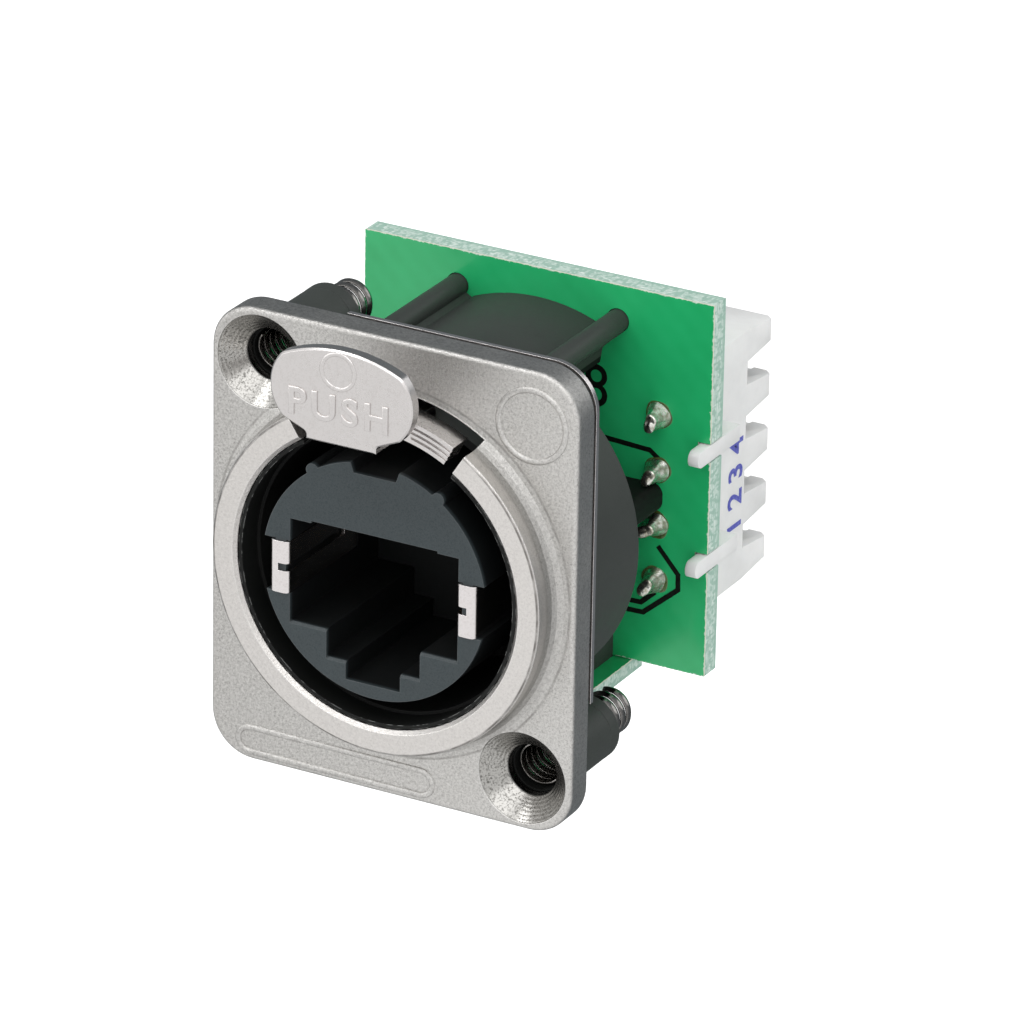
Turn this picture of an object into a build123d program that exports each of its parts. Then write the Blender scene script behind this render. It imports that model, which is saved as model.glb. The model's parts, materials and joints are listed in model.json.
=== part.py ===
from build123d import *
from math import atan2, cos, degrees, hypot, radians, sin, tan
import os

os.makedirs("parts", exist_ok=True)

# Frame: X to the right, Y back through the panel, Z up.
# The origin is the centre of the flange's front face. Depths are distances along Y, so what stands in
# front of the flange has a negative depth.

# Clearances
fit = 0.05
running = 0.08
motion_gap = 0.3

# Flange
flange_side = 1.35
flange_height = 31.0
flange_thickness = 2.0
flange_corner = 3.0
flange_edge_round = 0.3
screw_inset = 3.5
screw_hole_d = 3.4
countersink_d = 6.2
countersink_angle = 90

# Raised ring round the socket
ring_bore_d = 19.9
ring_wall = 1.7
ring_height = 2.2
ring_cove = 1.0
cove_steps = 4
ring_chamfer = 0.25
ring_lip = 0.12
gap_half_angle = 32.4
notch_gap = 0.55

# Web of the housing behind the flange, and the ground plate behind that
web_thickness = 0.3
web_inset = 0.35
plate_thickness = 0.35
plate_collar = 1.0
plate_corner_width = 8.4
plate_corner_height = 8.5

# Barrel and rear body of the housing
barrel_step = 0.25
barrel_back = 10.4
bore_step = 0.5
barrel_floor = 0.8
liner_wall = 0.25
liner_setback = 0.3
rear_width = 12.0
rear_bottom = 11.8
rear_top = 1.5
roof_half_width = 4.6
roof_bottom = 8.4
haunch_knee = (4.75, 9.4)
haunch_root = (5.3, 10.15)
board_front = 18.5
rod_d = 1.5
rod_inset = 0.2
rod_height = 11.5
rod_web = 0.7
rod_root = 9.9
lug_reach = 9.3
lug_height = 1.9
lug_round = 0.7

# Bosses behind the screw holes, and the coils in them
boss_d = 4.4
boss_back = 8.2
boss_chamfer = 0.45
boss_web_width = 2.6
boss_web_back = 6.5
coil_outer_d = 3.1
coil_bore_d = 2.5
coil_back = 11.5
coil_pitch = 1.1
coil_wire_width = 0.6
coil_wire_gauge = 0.24

# Push latch
tab_front = -6.5
tab_thickness = 0.8
tab_half_width = 5.0
tab_height = 6.3
tab_crown = 6.07
tab_shoulder_x = 4.2
tab_shoulder = 5.35
tab_side = 3.05
tab_lobe = 1.15
tab_shoulder_round = 0.8
tab_lobe_x = 4.1
neck_half_width = 2.45
neck_height = 0.45
neck_rise = 0.55
neck_fillet = 0.3
tab_edge_chamfer = 0.12
shelf_thickness = 0.7
skirt_gap = 0.25
skirt_rim = 0.05
skirt_half_angle = 28.0
skirt_setback = 0.1
skirt_back = -0.3
groove_width = 0.16
groove_depth = 0.15
groove_count = 3
stem_half_width = 1.6
stem_drop = 0.15
stem_thickness = 0.6
foot_half_width = 2.4
foot_front = 3.0
foot_back = 5.0
foot_keel = 0.7
foot_ramp_front = 3.6
nose_half_width = 1.5
nose_tip = 8.9
nose_front = 0.8
nose_back = 1.7
nose_slope = 0.4

# Movement of the latch, which slides back and a little up
push_travel = 1.4
push_angle = 12.0
push_back = push_travel * cos(radians(push_angle))
push_rise = push_travel * sin(radians(push_angle))

# Return spring behind the latch
spring_d = 1.3
spring_wire_d = 0.2
spring_turns = 5
spring_length = 4.3

# Jack insert
jack_floor = 0.9
jack_key_half_width = 1.5
jack_key_z = 7.1
jack_key_slope = 0.3
jack_nub_d = 0.9
jack_nub_angle = 34.0
tail_width = 8.2
tail_top = 5.2
tail_bottom = -5.6
tail_wall = 0.5

# Opening of the jack
mouth_half_width = 6.0
mouth_top = 3.0
mouth_bottom = -4.0
mouth_crown = 0.15
mouth_crown_half_width = 4.5
step_half_widths = (3.35, 1.95)
step_bottoms = (-5.85, -7.05)
mouth_depth = 11.2
mouth_chamfer = 0.15

# Contacts of the jack
contact_count = 8
contact_pitch = 1.02
contact_width = 0.35
contact_gauge = 0.3
contact_lane = 4.2
contact_row_drop = 1.3
contact_bend_front = -0.2
contact_bend_radius = 0.3
contact_tip_y = 7.2
contact_tip_z = 1.1
contact_jog = 3.2
contact_lead = 0.8
comb_front = 0.5
comb_top = 4.6

# Shield tabs at the sides of the opening
shield_gauge = 0.25
shield_bottom = -2.1
shield_top = 1.4
shield_proud = 0.03
shield_span = 1.36
shield_leaf_back = 6.0
shield_slot_z = -0.35
shield_slot_height = 0.5
shield_slot_reach = 0.5
shield_slot_length = 7.0

# Main board and the small board under the rear body
board_margin = 0.4
board_top = 13.9
board_bottom = -11.7
board_thickness = 1.6
lower_half_width = 7.3
lower_front = 10.5
lower_thickness = 1.0

# Punch-down blocks
wire_pitch = 3.81
wires_per_block = 4
block_margin = 2.0
block_width = 5.2
block_base = 7.3
tooth_depth = 3.7
tooth_tip = 1.4
tooth_root = 2.2
tooth_corner = 0.5
arm_height = 1.1
arm_thickness = 0.75
arm_proud = 1.6
arm_root = 2.5
arm_gap = 0.1
arm_round = 0.5

# Punch-down contacts and their solder
blade_inset = 1.7
blade_gauge = 0.5
blade_width = 2.6
blade_setback = 0.8
blade_slot = 0.35
blade_slot_depth = 3.1
blade_mouth = 1.1
blade_foot = 0.8
pin_width = 0.5
pin_proud = 1.1
pin_hole_d = 0.75
pin_hole_sides = 8
solder_d = 1.7
solder_sides = 12
solder_taper = 28
solder_height = 0.75

# Widths, depths and heights that follow from the sizes above
ring_outer_d = ring_bore_d + 2 * ring_wall
barrel_d = ring_outer_d + 2 * barrel_step
barrel_bore_d = ring_bore_d - 2 * bore_step
flange_width = ring_outer_d + 2 * flange_side
screw_pitch_x = flange_width - 2 * screw_inset
screw_pitch_z = flange_height - 2 * screw_inset
notch_d = ring_outer_d + 2 * notch_gap
plate_collar_d = barrel_d + 2 * plate_collar
rod_spacing = rear_width - 2 * rod_inset
skirt_inner_d = ring_bore_d + 2 * skirt_gap
skirt_outer_d = ring_outer_d - 2 * skirt_rim
stem_bottom = skirt_inner_d / 2 - stem_drop
neck_bottom = skirt_inner_d / 2 + neck_rise
jack_d = 2 * (jack_floor - step_bottoms[1])
shield_inner = mouth_half_width - shield_proud
shield_outer = shield_inner + shield_span
board_half_width = flange_width / 2 - board_margin
block_outer = board_half_width - block_margin
block_inner = block_outer - block_width
blade_x = block_outer - blade_inset
web_back = flange_thickness + web_thickness
plate_back = web_back + plate_thickness
ring_front = -ring_height
liner_front = ring_front + liner_setback
floor_front = barrel_back - barrel_floor
board_back = board_front + board_thickness
block_back = board_back + block_base + tooth_depth
stem_top = stem_bottom + stem_thickness
pocket_top = stem_top + push_rise + running
pocket_front = foot_front - running
pocket_back = foot_back + push_back + 2 * running
spring_back = foot_back + spring_length + 2 * fit
spring_axis_z = (stem_bottom + stem_top) / 2 + fit
mouth_back = ring_front + mouth_depth
jog_front = board_front - contact_jog
contact_end = board_back + contact_lead
rod_spots = [(-rod_spacing / 2, rod_height), (rod_spacing / 2, rod_height)]
screw_spots = [(-screw_pitch_x / 2, screw_pitch_z / 2), (screw_pitch_x / 2, -screw_pitch_z / 2)]
wire_heights = [(i - (wires_per_block - 1) / 2) * wire_pitch for i in range(wires_per_block)]
tooth_heights = [(i - wires_per_block / 2) * wire_pitch for i in range(wires_per_block + 1)]
arm_heights = [-wire_pitch, wire_pitch]
contact_spots = [(i - (contact_count - 1) / 2) * contact_pitch for i in range(contact_count)]


def front_plane(depth):
    """A plane at this depth, drawn on as seen from the front: X to the right, Z up."""
    return Plane.XZ.offset(-depth)


def side_plane(x):
    """A plane across X, drawn on with Y to the right and Z up."""
    return Plane.YZ.offset(x)


def save(part, name):
    """Label a finished piece and write it out."""
    part.label = name
    export_step(part, f"parts/{name}.step")


def arc_band(inner_r, outer_r, half_angle):
    """A stretch of ring about the axis, centred at the top."""
    reach = 2 * outer_r
    across = reach * sin(radians(half_angle))
    up = reach * cos(radians(half_angle))
    Circle(outer_r)
    Circle(inner_r, mode=Mode.SUBTRACT)
    Polygon((0, 0), (across, up), (-across, up), align=None, mode=Mode.INTERSECT)


def screw_corners(margin, mode=Mode.ADD):
    """The two corners behind the screw holes, which the ground plate leaves free."""
    width = plate_corner_width - margin
    height = plate_corner_height - margin
    centre_x = (flange_width - width) / 2
    centre_z = (flange_height - height) / 2
    with Locations((-centre_x, centre_z), (centre_x, -centre_z)):
        Rectangle(width, height, mode=mode)


def web_outline(mode=Mode.ADD):
    """The flange's outline, taken in all round."""
    RectangleRounded(
        flange_width - 2 * web_inset,
        flange_height - 2 * web_inset,
        flange_corner - web_inset,
        mode=mode,
    )


def upright_box(half_width, low, high, mode=Mode.ADD):
    """A rectangle centred on the axis, between two heights."""
    with Locations((0, (low + high) / 2)):
        Rectangle(2 * half_width, high - low, mode=mode)


def ramp_height(depth):
    """Height of the ramp under the latch's foot, a running clearance below the foot at rest."""
    drop = running / cos(radians(push_angle))
    return stem_bottom - drop + (depth - foot_ramp_front) * tan(radians(push_angle))


# Flange with its raised ring, one diecasting
with BuildPart() as flange_shell:
    with BuildSketch(front_plane(flange_thickness)):
        RectangleRounded(flange_width, flange_height, flange_corner)
    extrude(amount=flange_thickness)
    fillet(flange_shell.faces().sort_by(Axis.Y)[0].edges(), flange_edge_round)
    with BuildSketch(Plane.YZ):
        with BuildLine():
            bore_r = ring_bore_d / 2
            outer_r = ring_outer_d / 2
            cove_angles = [radians(90 * step / cove_steps) for step in range(cove_steps + 1)]
            cove = [(ring_cove * (sin(a) - 1), outer_r + ring_cove * (1 - cos(a))) for a in cove_angles]
            Polyline(
                (flange_thickness, outer_r + ring_cove),
                (flange_thickness, bore_r),
                (ring_front + ring_chamfer, bore_r),
                (ring_front, bore_r + ring_chamfer),
                (ring_front, outer_r - ring_lip),
                (ring_front + ring_lip, outer_r),
                *cove,
                close=True,
            )
        make_face()
    revolve(axis=Axis.Y)
    with BuildSketch(front_plane(flange_thickness)):
        Circle(ring_bore_d / 2)
    extrude(amount=flange_thickness, mode=Mode.SUBTRACT)
    with BuildSketch(front_plane(flange_thickness)):
        arc_band(ring_bore_d / 2 - ring_lip, notch_d / 2, gap_half_angle)
    extrude(amount=flange_thickness + ring_height, mode=Mode.SUBTRACT)
    with Locations(front_plane(0)):
        with Locations(*screw_spots):
            CounterSinkHole(screw_hole_d / 2, countersink_d / 2, flange_thickness, countersink_angle)
save(flange_shell.part, "flange_shell")

# Ground plate, cut away at the two screw corners but for a narrow collar round the barrel
with BuildPart() as ground_plate:
    with BuildSketch(front_plane(plate_back)):
        RectangleRounded(flange_width, flange_height, flange_corner)
        screw_corners(0, Mode.SUBTRACT)
        Circle(plate_collar_d / 2)
        Circle(barrel_d / 2 + fit, mode=Mode.SUBTRACT)
    extrude(amount=plate_thickness)
save(ground_plate.part, "ground_plate")

# Housing: barrel, liner in the ring, bosses, rear body, locating rods and side lugs, one moulding
with BuildPart() as barrel_housing:
    with BuildSketch(front_plane(barrel_back)):
        Circle(barrel_d / 2)
    extrude(amount=barrel_back - flange_thickness)
    with BuildSketch(front_plane(flange_thickness)):
        Circle(ring_bore_d / 2 - fit)
    extrude(amount=flange_thickness - liner_front)
    with BuildSketch(front_plane(web_back)):
        web_outline()
    extrude(amount=web_thickness)
    # Ears: a pad in each free corner of the ground plate, a boss and a web to the barrel
    with BuildSketch(front_plane(plate_back)):
        screw_corners(fit)
        web_outline(Mode.INTERSECT)
        Circle(plate_collar_d / 2 + fit, mode=Mode.SUBTRACT)
    extrude(amount=plate_thickness)
    with BuildSketch(front_plane(boss_web_back)):
        spoke_angle = degrees(atan2(screw_pitch_z, -screw_pitch_x))
        Rectangle(hypot(screw_pitch_x, screw_pitch_z), boss_web_width, rotation=spoke_angle)
    extrude(amount=boss_web_back - plate_back)
    with BuildSketch(front_plane(boss_back)):
        with Locations(*screw_spots):
            Circle(boss_d / 2)
    extrude(amount=boss_back - web_back)
    boss_rims = barrel_housing.edges().filter_by_position(Axis.Y, boss_back - fit, boss_back + fit)
    chamfer(boss_rims, boss_chamfer)
    # Rear body: a square lower half, walls round the tail of the jack, and a roof over an open gap
    tail_outer = tail_width / 2 + fit + tail_wall
    with BuildSketch(front_plane(board_front)):
        upright_box(rear_width / 2, -rear_bottom, rear_top)
        upright_box(tail_outer, rear_top, tail_top + fit + tail_wall)
    extrude(amount=board_front - barrel_back)
    with BuildSketch(front_plane(board_front)):
        Circle(barrel_d / 2)
        upright_box(roof_half_width, roof_bottom, barrel_d / 2, Mode.INTERSECT)
        # Haunches from the roof out to the rods
        for side in (-1, 1):
            rod_x, rod_z = side * rod_spacing / 2, rod_height
            Polygon(
                (side * roof_half_width - side * fit, roof_bottom),
                (side * roof_half_width, roof_bottom),
                (side * haunch_knee[0], haunch_knee[1]),
                (side * haunch_root[0], haunch_root[1]),
                (rod_x + side * rod_d / 4, rod_z - rod_d / 2),
                (rod_x, rod_z),
                (side * roof_half_width - side * fit, rod_z - rod_d / 2),
                align=None,
            )
    extrude(amount=board_front - barrel_back)
    # Side lugs that bear on the board
    with BuildSketch(front_plane(board_front)):
        RectangleRounded(2 * lug_reach, lug_height, lug_round)
    extrude(amount=board_front - barrel_back)
    # Locating rods, on webs along the barrel
    web_x = (rear_width - rod_web) / 2
    with BuildSketch(front_plane(barrel_back)):
        with Locations((-web_x, rod_height), (web_x, rod_height)):
            Rectangle(rod_web, rod_height - rod_root, align=(Align.CENTER, Align.MAX))
    extrude(amount=barrel_back - plate_back)
    with BuildSketch(front_plane(board_back)):
        with Locations(*rod_spots):
            Circle(rod_d / 2)
    extrude(amount=board_back - plate_back)
    # Bore, with a fine step where the liner begins, and the liner's part of the ring gap
    with BuildSketch(front_plane(0)):
        Circle(ring_bore_d / 2 - fit - liner_wall)
    extrude(amount=-liner_front, mode=Mode.SUBTRACT)
    with BuildSketch(front_plane(floor_front)):
        Circle(barrel_bore_d / 2)
    extrude(amount=floor_front, mode=Mode.SUBTRACT)
    with BuildSketch(front_plane(flange_thickness)):
        arc_band(barrel_bore_d / 2 - liner_wall, ring_bore_d / 2, gap_half_angle)
    extrude(amount=flange_thickness - liner_front, mode=Mode.SUBTRACT)
    # Chamber for the tail of the jack insert, open to the board
    with BuildSketch(front_plane(board_front)):
        upright_box(tail_width / 2 + fit, tail_bottom - fit, tail_top + fit)
    extrude(amount=board_front - floor_front, mode=Mode.SUBTRACT)
    # Screw passages through the bosses
    with BuildSketch(front_plane(boss_back)):
        with Locations(*screw_spots):
            Circle(coil_outer_d / 2 + fit)
    extrude(amount=boss_back - flange_thickness, mode=Mode.SUBTRACT)
    # Latch chamber: the way in for the stem and nose, then a wider pocket with the ramp as its floor
    with BuildSketch(front_plane(nose_back + push_back + motion_gap)):
        upright_box(stem_half_width + motion_gap, nose_tip - motion_gap, pocket_top)
    extrude(amount=nose_back + push_back + motion_gap - flange_thickness, mode=Mode.SUBTRACT)
    with BuildSketch(side_plane(-foot_half_width - motion_gap)):
        with BuildLine():
            Polyline(
                (pocket_front, pocket_top),
                (pocket_back, pocket_top),
                (pocket_back, ramp_height(pocket_back)),
                (pocket_front, ramp_height(pocket_front)),
                close=True,
            )
        make_face()
    extrude(amount=2 * (foot_half_width + motion_gap), mode=Mode.SUBTRACT)
    # Channel for the foot's keel, and behind it the bore of the return spring
    with BuildSketch(front_plane(pocket_back)):
        upright_box(foot_keel + motion_gap, stem_bottom - motion_gap, pocket_top)
    extrude(amount=pocket_back - foot_front, mode=Mode.SUBTRACT)
    with BuildSketch(front_plane(spring_back)):
        with Locations((0, spring_axis_z)):
            Circle(spring_d / 2 + 2 * fit)
    extrude(amount=spring_back - foot_back, mode=Mode.SUBTRACT)
save(barrel_housing.part, "barrel_housing")

# Push latch: tab, shelf, ribbed skirt in the ring gap, stem, ramped foot and locking nose
with BuildPart() as push_latch:
    tab_back = tab_front + tab_thickness
    with BuildSketch(front_plane(tab_back)) as tab_outline:
        with BuildLine():
            shoulder = (tab_shoulder_x, neck_bottom + tab_shoulder)
            lobe = (tab_lobe_x, neck_bottom + tab_lobe)
            neck_top = neck_bottom + neck_height
            crown = (tab_shoulder_x / 2, neck_bottom + tab_crown)
            ThreePointArc((0, neck_bottom + tab_height), crown, shoulder)
            ThreePointArc(shoulder, (tab_half_width, neck_bottom + tab_side), lobe)
            Polyline(lobe, (neck_half_width, neck_top), (neck_half_width, neck_bottom), (0, neck_bottom))
            mirror(about=Plane.YZ)
        make_face()
        fillet([v for v in tab_outline.vertices() if abs(v.Y - shoulder[1]) < fit], tab_shoulder_round)
        fillet([v for v in tab_outline.vertices() if abs(v.Y - neck_top) < fit], neck_fillet)
    extrude(amount=tab_thickness)
    chamfer(push_latch.faces().sort_by(Axis.Y)[0].edges(), tab_edge_chamfer)
    # Shelf from the foot of the tab back to the skirt
    skirt_front = ring_front + skirt_setback
    with BuildSketch(front_plane(skirt_front + skirt_setback)):
        upright_box(neck_half_width, neck_bottom, neck_bottom + shelf_thickness)
    extrude(amount=skirt_front + skirt_setback - tab_back)
    # Skirt with ribs along its front face
    with BuildSketch(front_plane(skirt_back)):
        arc_band(skirt_inner_d / 2, skirt_outer_d / 2, skirt_half_angle)
    extrude(amount=skirt_back - skirt_front)
    with BuildSketch(front_plane(skirt_front + groove_depth)):
        groove_pitch = (skirt_outer_d - skirt_inner_d) / 2 / (groove_count + 1)
        for groove in range(groove_count):
            groove_r = skirt_inner_d / 2 + (groove + 1) * groove_pitch
            with BuildSketch(front_plane(skirt_front + groove_depth), mode=Mode.PRIVATE) as ring_groove:
                arc_band(groove_r - groove_width / 2, groove_r + groove_width / 2, skirt_half_angle)
            add(ring_groove.sketch_local)
        upright_box(neck_half_width, 0, skirt_outer_d / 2, Mode.SUBTRACT)
    extrude(amount=groove_depth, mode=Mode.SUBTRACT)
    # Stem and foot; the foot's underside is ramped on both sides of its keel
    with BuildSketch(front_plane(foot_front)):
        upright_box(stem_half_width, stem_bottom, stem_top)
    extrude(amount=foot_front - skirt_front - groove_depth)
    with BuildSketch(side_plane(-foot_half_width)):
        with BuildLine():
            Polyline(
                (foot_front, stem_top),
                (foot_back, stem_top),
                (foot_back, stem_bottom + (foot_back - foot_ramp_front) * tan(radians(push_angle))),
                (foot_ramp_front, stem_bottom),
                (foot_front, stem_bottom),
                close=True,
            )
        make_face()
    extrude(amount=2 * foot_half_width)
    with BuildSketch(front_plane(foot_back)):
        upright_box(foot_keel, stem_bottom, stem_top)
    extrude(amount=foot_back - foot_front)
    # Locking nose, sloped in front so that an entering plug lifts it
    with BuildSketch(side_plane(-nose_half_width)):
        with BuildLine():
            Polyline(
                (nose_front, stem_bottom + fit),
                (nose_front + nose_slope, nose_tip),
                (nose_back, nose_tip),
                (nose_back, stem_bottom + fit),
                close=True,
            )
        make_face()
    extrude(amount=2 * nose_half_width)
save(push_latch.part, "push_latch")

# Return spring behind the foot
with BuildPart() as latch_spring:
    with BuildLine() as spring_line:
        Helix(
            pitch=(spring_length - spring_wire_d) / spring_turns,
            height=spring_length - spring_wire_d,
            radius=(spring_d - spring_wire_d) / 2,
            center=(0, foot_back + fit + spring_wire_d / 2, spring_axis_z),
            direction=(0, 1, 0),
        )
    with BuildSketch(Plane(origin=spring_line.line @ 0, z_dir=spring_line.line % 0)):
        Rectangle(spring_wire_d, spring_wire_d)
    sweep(path=spring_line.line, is_frenet=True)
save(latch_spring.part, "latch_spring")

# Thread coils: close turns in the bosses, drawn as a sleeve, and free turns of open wire behind
for name, spot in zip(("thread_coil_upper", "thread_coil_lower"), screw_spots):
    with BuildPart() as thread_coil:
        with BuildSketch(front_plane(boss_back)):
            with Locations(spot):
                Circle(coil_outer_d / 2)
                Circle(coil_bore_d / 2, mode=Mode.SUBTRACT)
        extrude(amount=boss_back - flange_thickness - fit)
        with BuildLine() as free_turns:
            Helix(
                pitch=coil_pitch,
                height=coil_back - boss_back,
                radius=(coil_outer_d + coil_bore_d) / 4,
                center=(spot[0], boss_back - coil_wire_width / 2, spot[1]),
                direction=(0, 1, 0),
            )
        wire_start = free_turns.line @ 0
        outward = wire_start - Vector(spot[0], wire_start.Y, spot[1])
        with BuildSketch(Plane(origin=wire_start, x_dir=outward, z_dir=free_turns.line % 0)):
            Rectangle(coil_wire_gauge, coil_wire_width)
        sweep(path=free_turns.line, is_frenet=True)
    save(thread_coil.part, name)

# Jack insert: round front in the barrel, square tail to the board
with BuildPart() as jack_insert:
    with BuildSketch(front_plane(floor_front)):
        Circle(jack_d / 2)
        with PolarLocations(jack_d / 2, 2, start_angle=90 - jack_nub_angle, angular_range=4 * jack_nub_angle):
            Circle(jack_nub_d / 2)
        with BuildLine():
            Polyline(
                (-jack_key_half_width, jack_key_z),
                (jack_key_half_width, jack_key_z),
                (jack_key_half_width + jack_key_slope, jack_d / 2),
                (-jack_key_half_width - jack_key_slope, jack_d / 2),
                close=True,
            )
        make_face(mode=Mode.SUBTRACT)
    extrude(amount=floor_front - ring_front)
    with BuildSketch(front_plane(board_front)):
        upright_box(tail_width / 2, tail_bottom, tail_top)
    extrude(amount=board_front - floor_front)
    # Stepped mouth for the plug, with the notch for its clip at the bottom
    with BuildSketch(front_plane(mouth_back)):
        upright_box(mouth_half_width, mouth_bottom, mouth_top)
        upright_box(mouth_crown_half_width, mouth_bottom, mouth_top + mouth_crown)
        for half_width, bottom in zip(step_half_widths, step_bottoms):
            upright_box(half_width, bottom, mouth_top)
    extrude(amount=mouth_depth, mode=Mode.SUBTRACT)
    front_face = jack_insert.faces().sort_by(Axis.Y)[0]
    sills = front_face.edges().filter_by(Axis.X).filter_by_position(Axis.Z, step_bottoms[1], mouth_bottom)
    chamfer(sills, mouth_chamfer)
    # Seats of the shield tabs: a recess inside the mouth and a flat outside the wall
    for side in (-1, 1):
        seat_inner = shield_inner + shield_gauge + fit
        seat_outer = shield_outer - shield_gauge - fit
        with BuildSketch(front_plane(shield_leaf_back + motion_gap)):
            shield_mid = (shield_bottom + shield_top) / 2
            shield_height = shield_top - shield_bottom + 2 * fit
            with Locations((side * (mouth_half_width + seat_inner) / 2, shield_mid)):
                Rectangle(seat_inner - mouth_half_width + fit, shield_height)
            with Locations((side * (seat_outer + jack_d) / 2, shield_mid)):
                Rectangle(jack_d - seat_outer, shield_height)
        extrude(amount=shield_leaf_back + motion_gap - ring_front, mode=Mode.SUBTRACT)
    # Comb slots over the mouth and lanes through the tail for the contacts
    for number, x in enumerate(contact_spots, start=1):
        slot_width = contact_width + 2 * fit
        lane_floor = contact_lane - contact_gauge / 2 - fit
        with BuildSketch(side_plane(x - slot_width / 2)):
            with Locations((comb_front, mouth_top)):
                Rectangle(mouth_back - comb_front, comb_top - mouth_top, align=Align.MIN)
            with Locations((comb_front, lane_floor)):
                Rectangle(board_front - comb_front, comb_top - lane_floor, align=Align.MIN)
            if number % 2 == 0:
                with Locations((jog_front - contact_gauge, lane_floor - contact_row_drop)):
                    Rectangle(contact_jog + contact_gauge, contact_row_drop + fit, align=Align.MIN)
        extrude(amount=slot_width, mode=Mode.SUBTRACT)
save(jack_insert.part, "jack_insert")

# Shield tabs, folded over the side walls of the jack
for name, side in (("shield_tab_left", -1), ("shield_tab_right", 1)):
    with BuildPart() as shield_tab:
        inner_x = side * (shield_inner + shield_gauge / 2)
        outer_x = side * (shield_outer - shield_gauge / 2)
        fold_y = ring_front - shield_gauge / 2
        with BuildSketch(Plane.XY.offset(shield_bottom)):
            with BuildLine():
                FilletPolyline(
                    (inner_x, shield_leaf_back),
                    (inner_x, fold_y),
                    (outer_x, fold_y),
                    (outer_x, shield_leaf_back),
                    radius=shield_gauge,
                )
            trace(line_width=shield_gauge)
        extrude(amount=shield_top - shield_bottom)
        with BuildSketch(Plane.XY.offset(shield_slot_z - shield_slot_height / 2)):
            slot_reach = shield_gauge + shield_slot_reach
            with Locations((side * (shield_inner + slot_reach / 2), ring_front - shield_gauge)):
                Rectangle(slot_reach, shield_slot_length, align=(Align.CENTER, Align.MIN))
        extrude(amount=shield_slot_height, mode=Mode.SUBTRACT)
    save(shield_tab.part, name)

# Spring contacts of the jack: from the board along a lane, then folded back into the mouth
for number, x in enumerate(contact_spots, start=1):
    nose_run = [(contact_bend_front, contact_lane), (contact_tip_y, contact_tip_z)]
    if number % 2 == 0:
        row = contact_lane - contact_row_drop
        tail_run = [(contact_end, row), (jog_front + contact_row_drop, row), (jog_front, contact_lane)]
    else:
        tail_run = [(contact_end, contact_lane)]
    with BuildPart() as jack_contact:
        with BuildSketch(side_plane(x - contact_width / 2)):
            with BuildLine():
                FilletPolyline(*tail_run, *nose_run, radius=contact_bend_radius)
            trace(line_width=contact_gauge)
        extrude(amount=contact_width)
    save(jack_contact.part, f"jack_contact_{number}")

# Main board, with its rod holes, pin holes and edge notches
with BuildPart() as main_board:
    with BuildSketch(front_plane(board_back)):
        upright_box(board_half_width, board_bottom, board_top)
        with Locations(*rod_spots):
            Circle(rod_d / 2 + fit, mode=Mode.SUBTRACT)
        for number, x in enumerate(contact_spots, start=1):
            with Locations((x, contact_lane - (contact_row_drop if number % 2 == 0 else 0))):
                RegularPolygon(pin_hole_d / 2, pin_hole_sides, mode=Mode.SUBTRACT)
        for x in (-blade_x, blade_x):
            with Locations(*[(x, z) for z in wire_heights]):
                RegularPolygon(pin_hole_d / 2, pin_hole_sides, mode=Mode.SUBTRACT)
        for side in (-1, 1):
            notch_depth = arm_thickness + arm_gap
            with Locations(*[(side * (board_half_width - notch_depth / 2), z) for z in arm_heights]):
                Rectangle(notch_depth + fit, arm_height + 2 * arm_gap, mode=Mode.SUBTRACT)
    extrude(amount=board_thickness)
save(main_board.part, "main_board")

# Small board under the rear body
with BuildPart() as lower_board:
    with BuildSketch(Plane.XY.offset(-rear_bottom - lower_thickness)):
        with Locations((0, (lower_front + board_back) / 2)):
            Rectangle(2 * lower_half_width, board_back - lower_front)
    extrude(amount=lower_thickness)
save(lower_board.part, "lower_board")

# Punch-down block on the right, with its teeth, blade slots and clip arms
with BuildPart() as idc_block_right:
    root_y = board_back + block_base
    with BuildSketch(side_plane(block_inner)):
        with BuildLine():
            comb = [(board_back, tooth_heights[0] - tooth_root / 2)]
            for z in tooth_heights:
                comb += [
                    (root_y, z - tooth_root / 2),
                    (block_back, z - tooth_tip / 2),
                    (block_back, z + tooth_tip / 2),
                    (root_y, z + tooth_root / 2),
                ]
            comb += [(board_back, tooth_heights[-1] + tooth_root / 2)]
            Polyline(comb, close=True)
        make_face()
    extrude(amount=block_outer - block_inner)
    tips = idc_block_right.edges().filter_by(Axis.Z)
    chamfer(tips.filter_by_position(Axis.Y, block_back - fit, block_back + fit), tooth_corner)
    # Clip arms that reach out to the board's edge and forward through its notches
    with BuildSketch(front_plane(board_back + arm_root)):
        with Locations(*[((block_outer + board_half_width) / 2, z) for z in arm_heights]):
            Rectangle(board_half_width - block_outer, arm_height)
    extrude(amount=arm_root)
    with BuildSketch(front_plane(board_back + arm_root)):
        with Locations(*[(board_half_width - arm_thickness / 2, z) for z in arm_heights]):
            Rectangle(arm_thickness, arm_height)
    extrude(amount=arm_root + board_thickness + arm_proud)
    arm_ends = idc_block_right.faces().filter_by(Plane.XZ).group_by(Axis.Y)[0]
    fillet(arm_ends.edges().filter_by(Axis.X), arm_round)
    # Slots for the contact blades, with a hole for each pin
    for z in wire_heights:
        with BuildSketch(front_plane(block_back)):
            with Locations((blade_x, z)):
                Rectangle(blade_gauge + 2 * fit, blade_width + 2 * fit)
        extrude(amount=block_back - board_back - blade_foot, mode=Mode.SUBTRACT)
        with BuildSketch(front_plane(board_back + blade_foot)):
            with Locations((blade_x, z)):
                Rectangle(pin_width + 2 * fit, pin_width + 2 * fit)
        extrude(amount=blade_foot, mode=Mode.SUBTRACT)
save(idc_block_right.part, "idc_block_right")

with BuildPart() as idc_block_left:
    mirror(idc_block_right.part, about=Plane.YZ)
save(idc_block_left.part, "idc_block_left")

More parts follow.
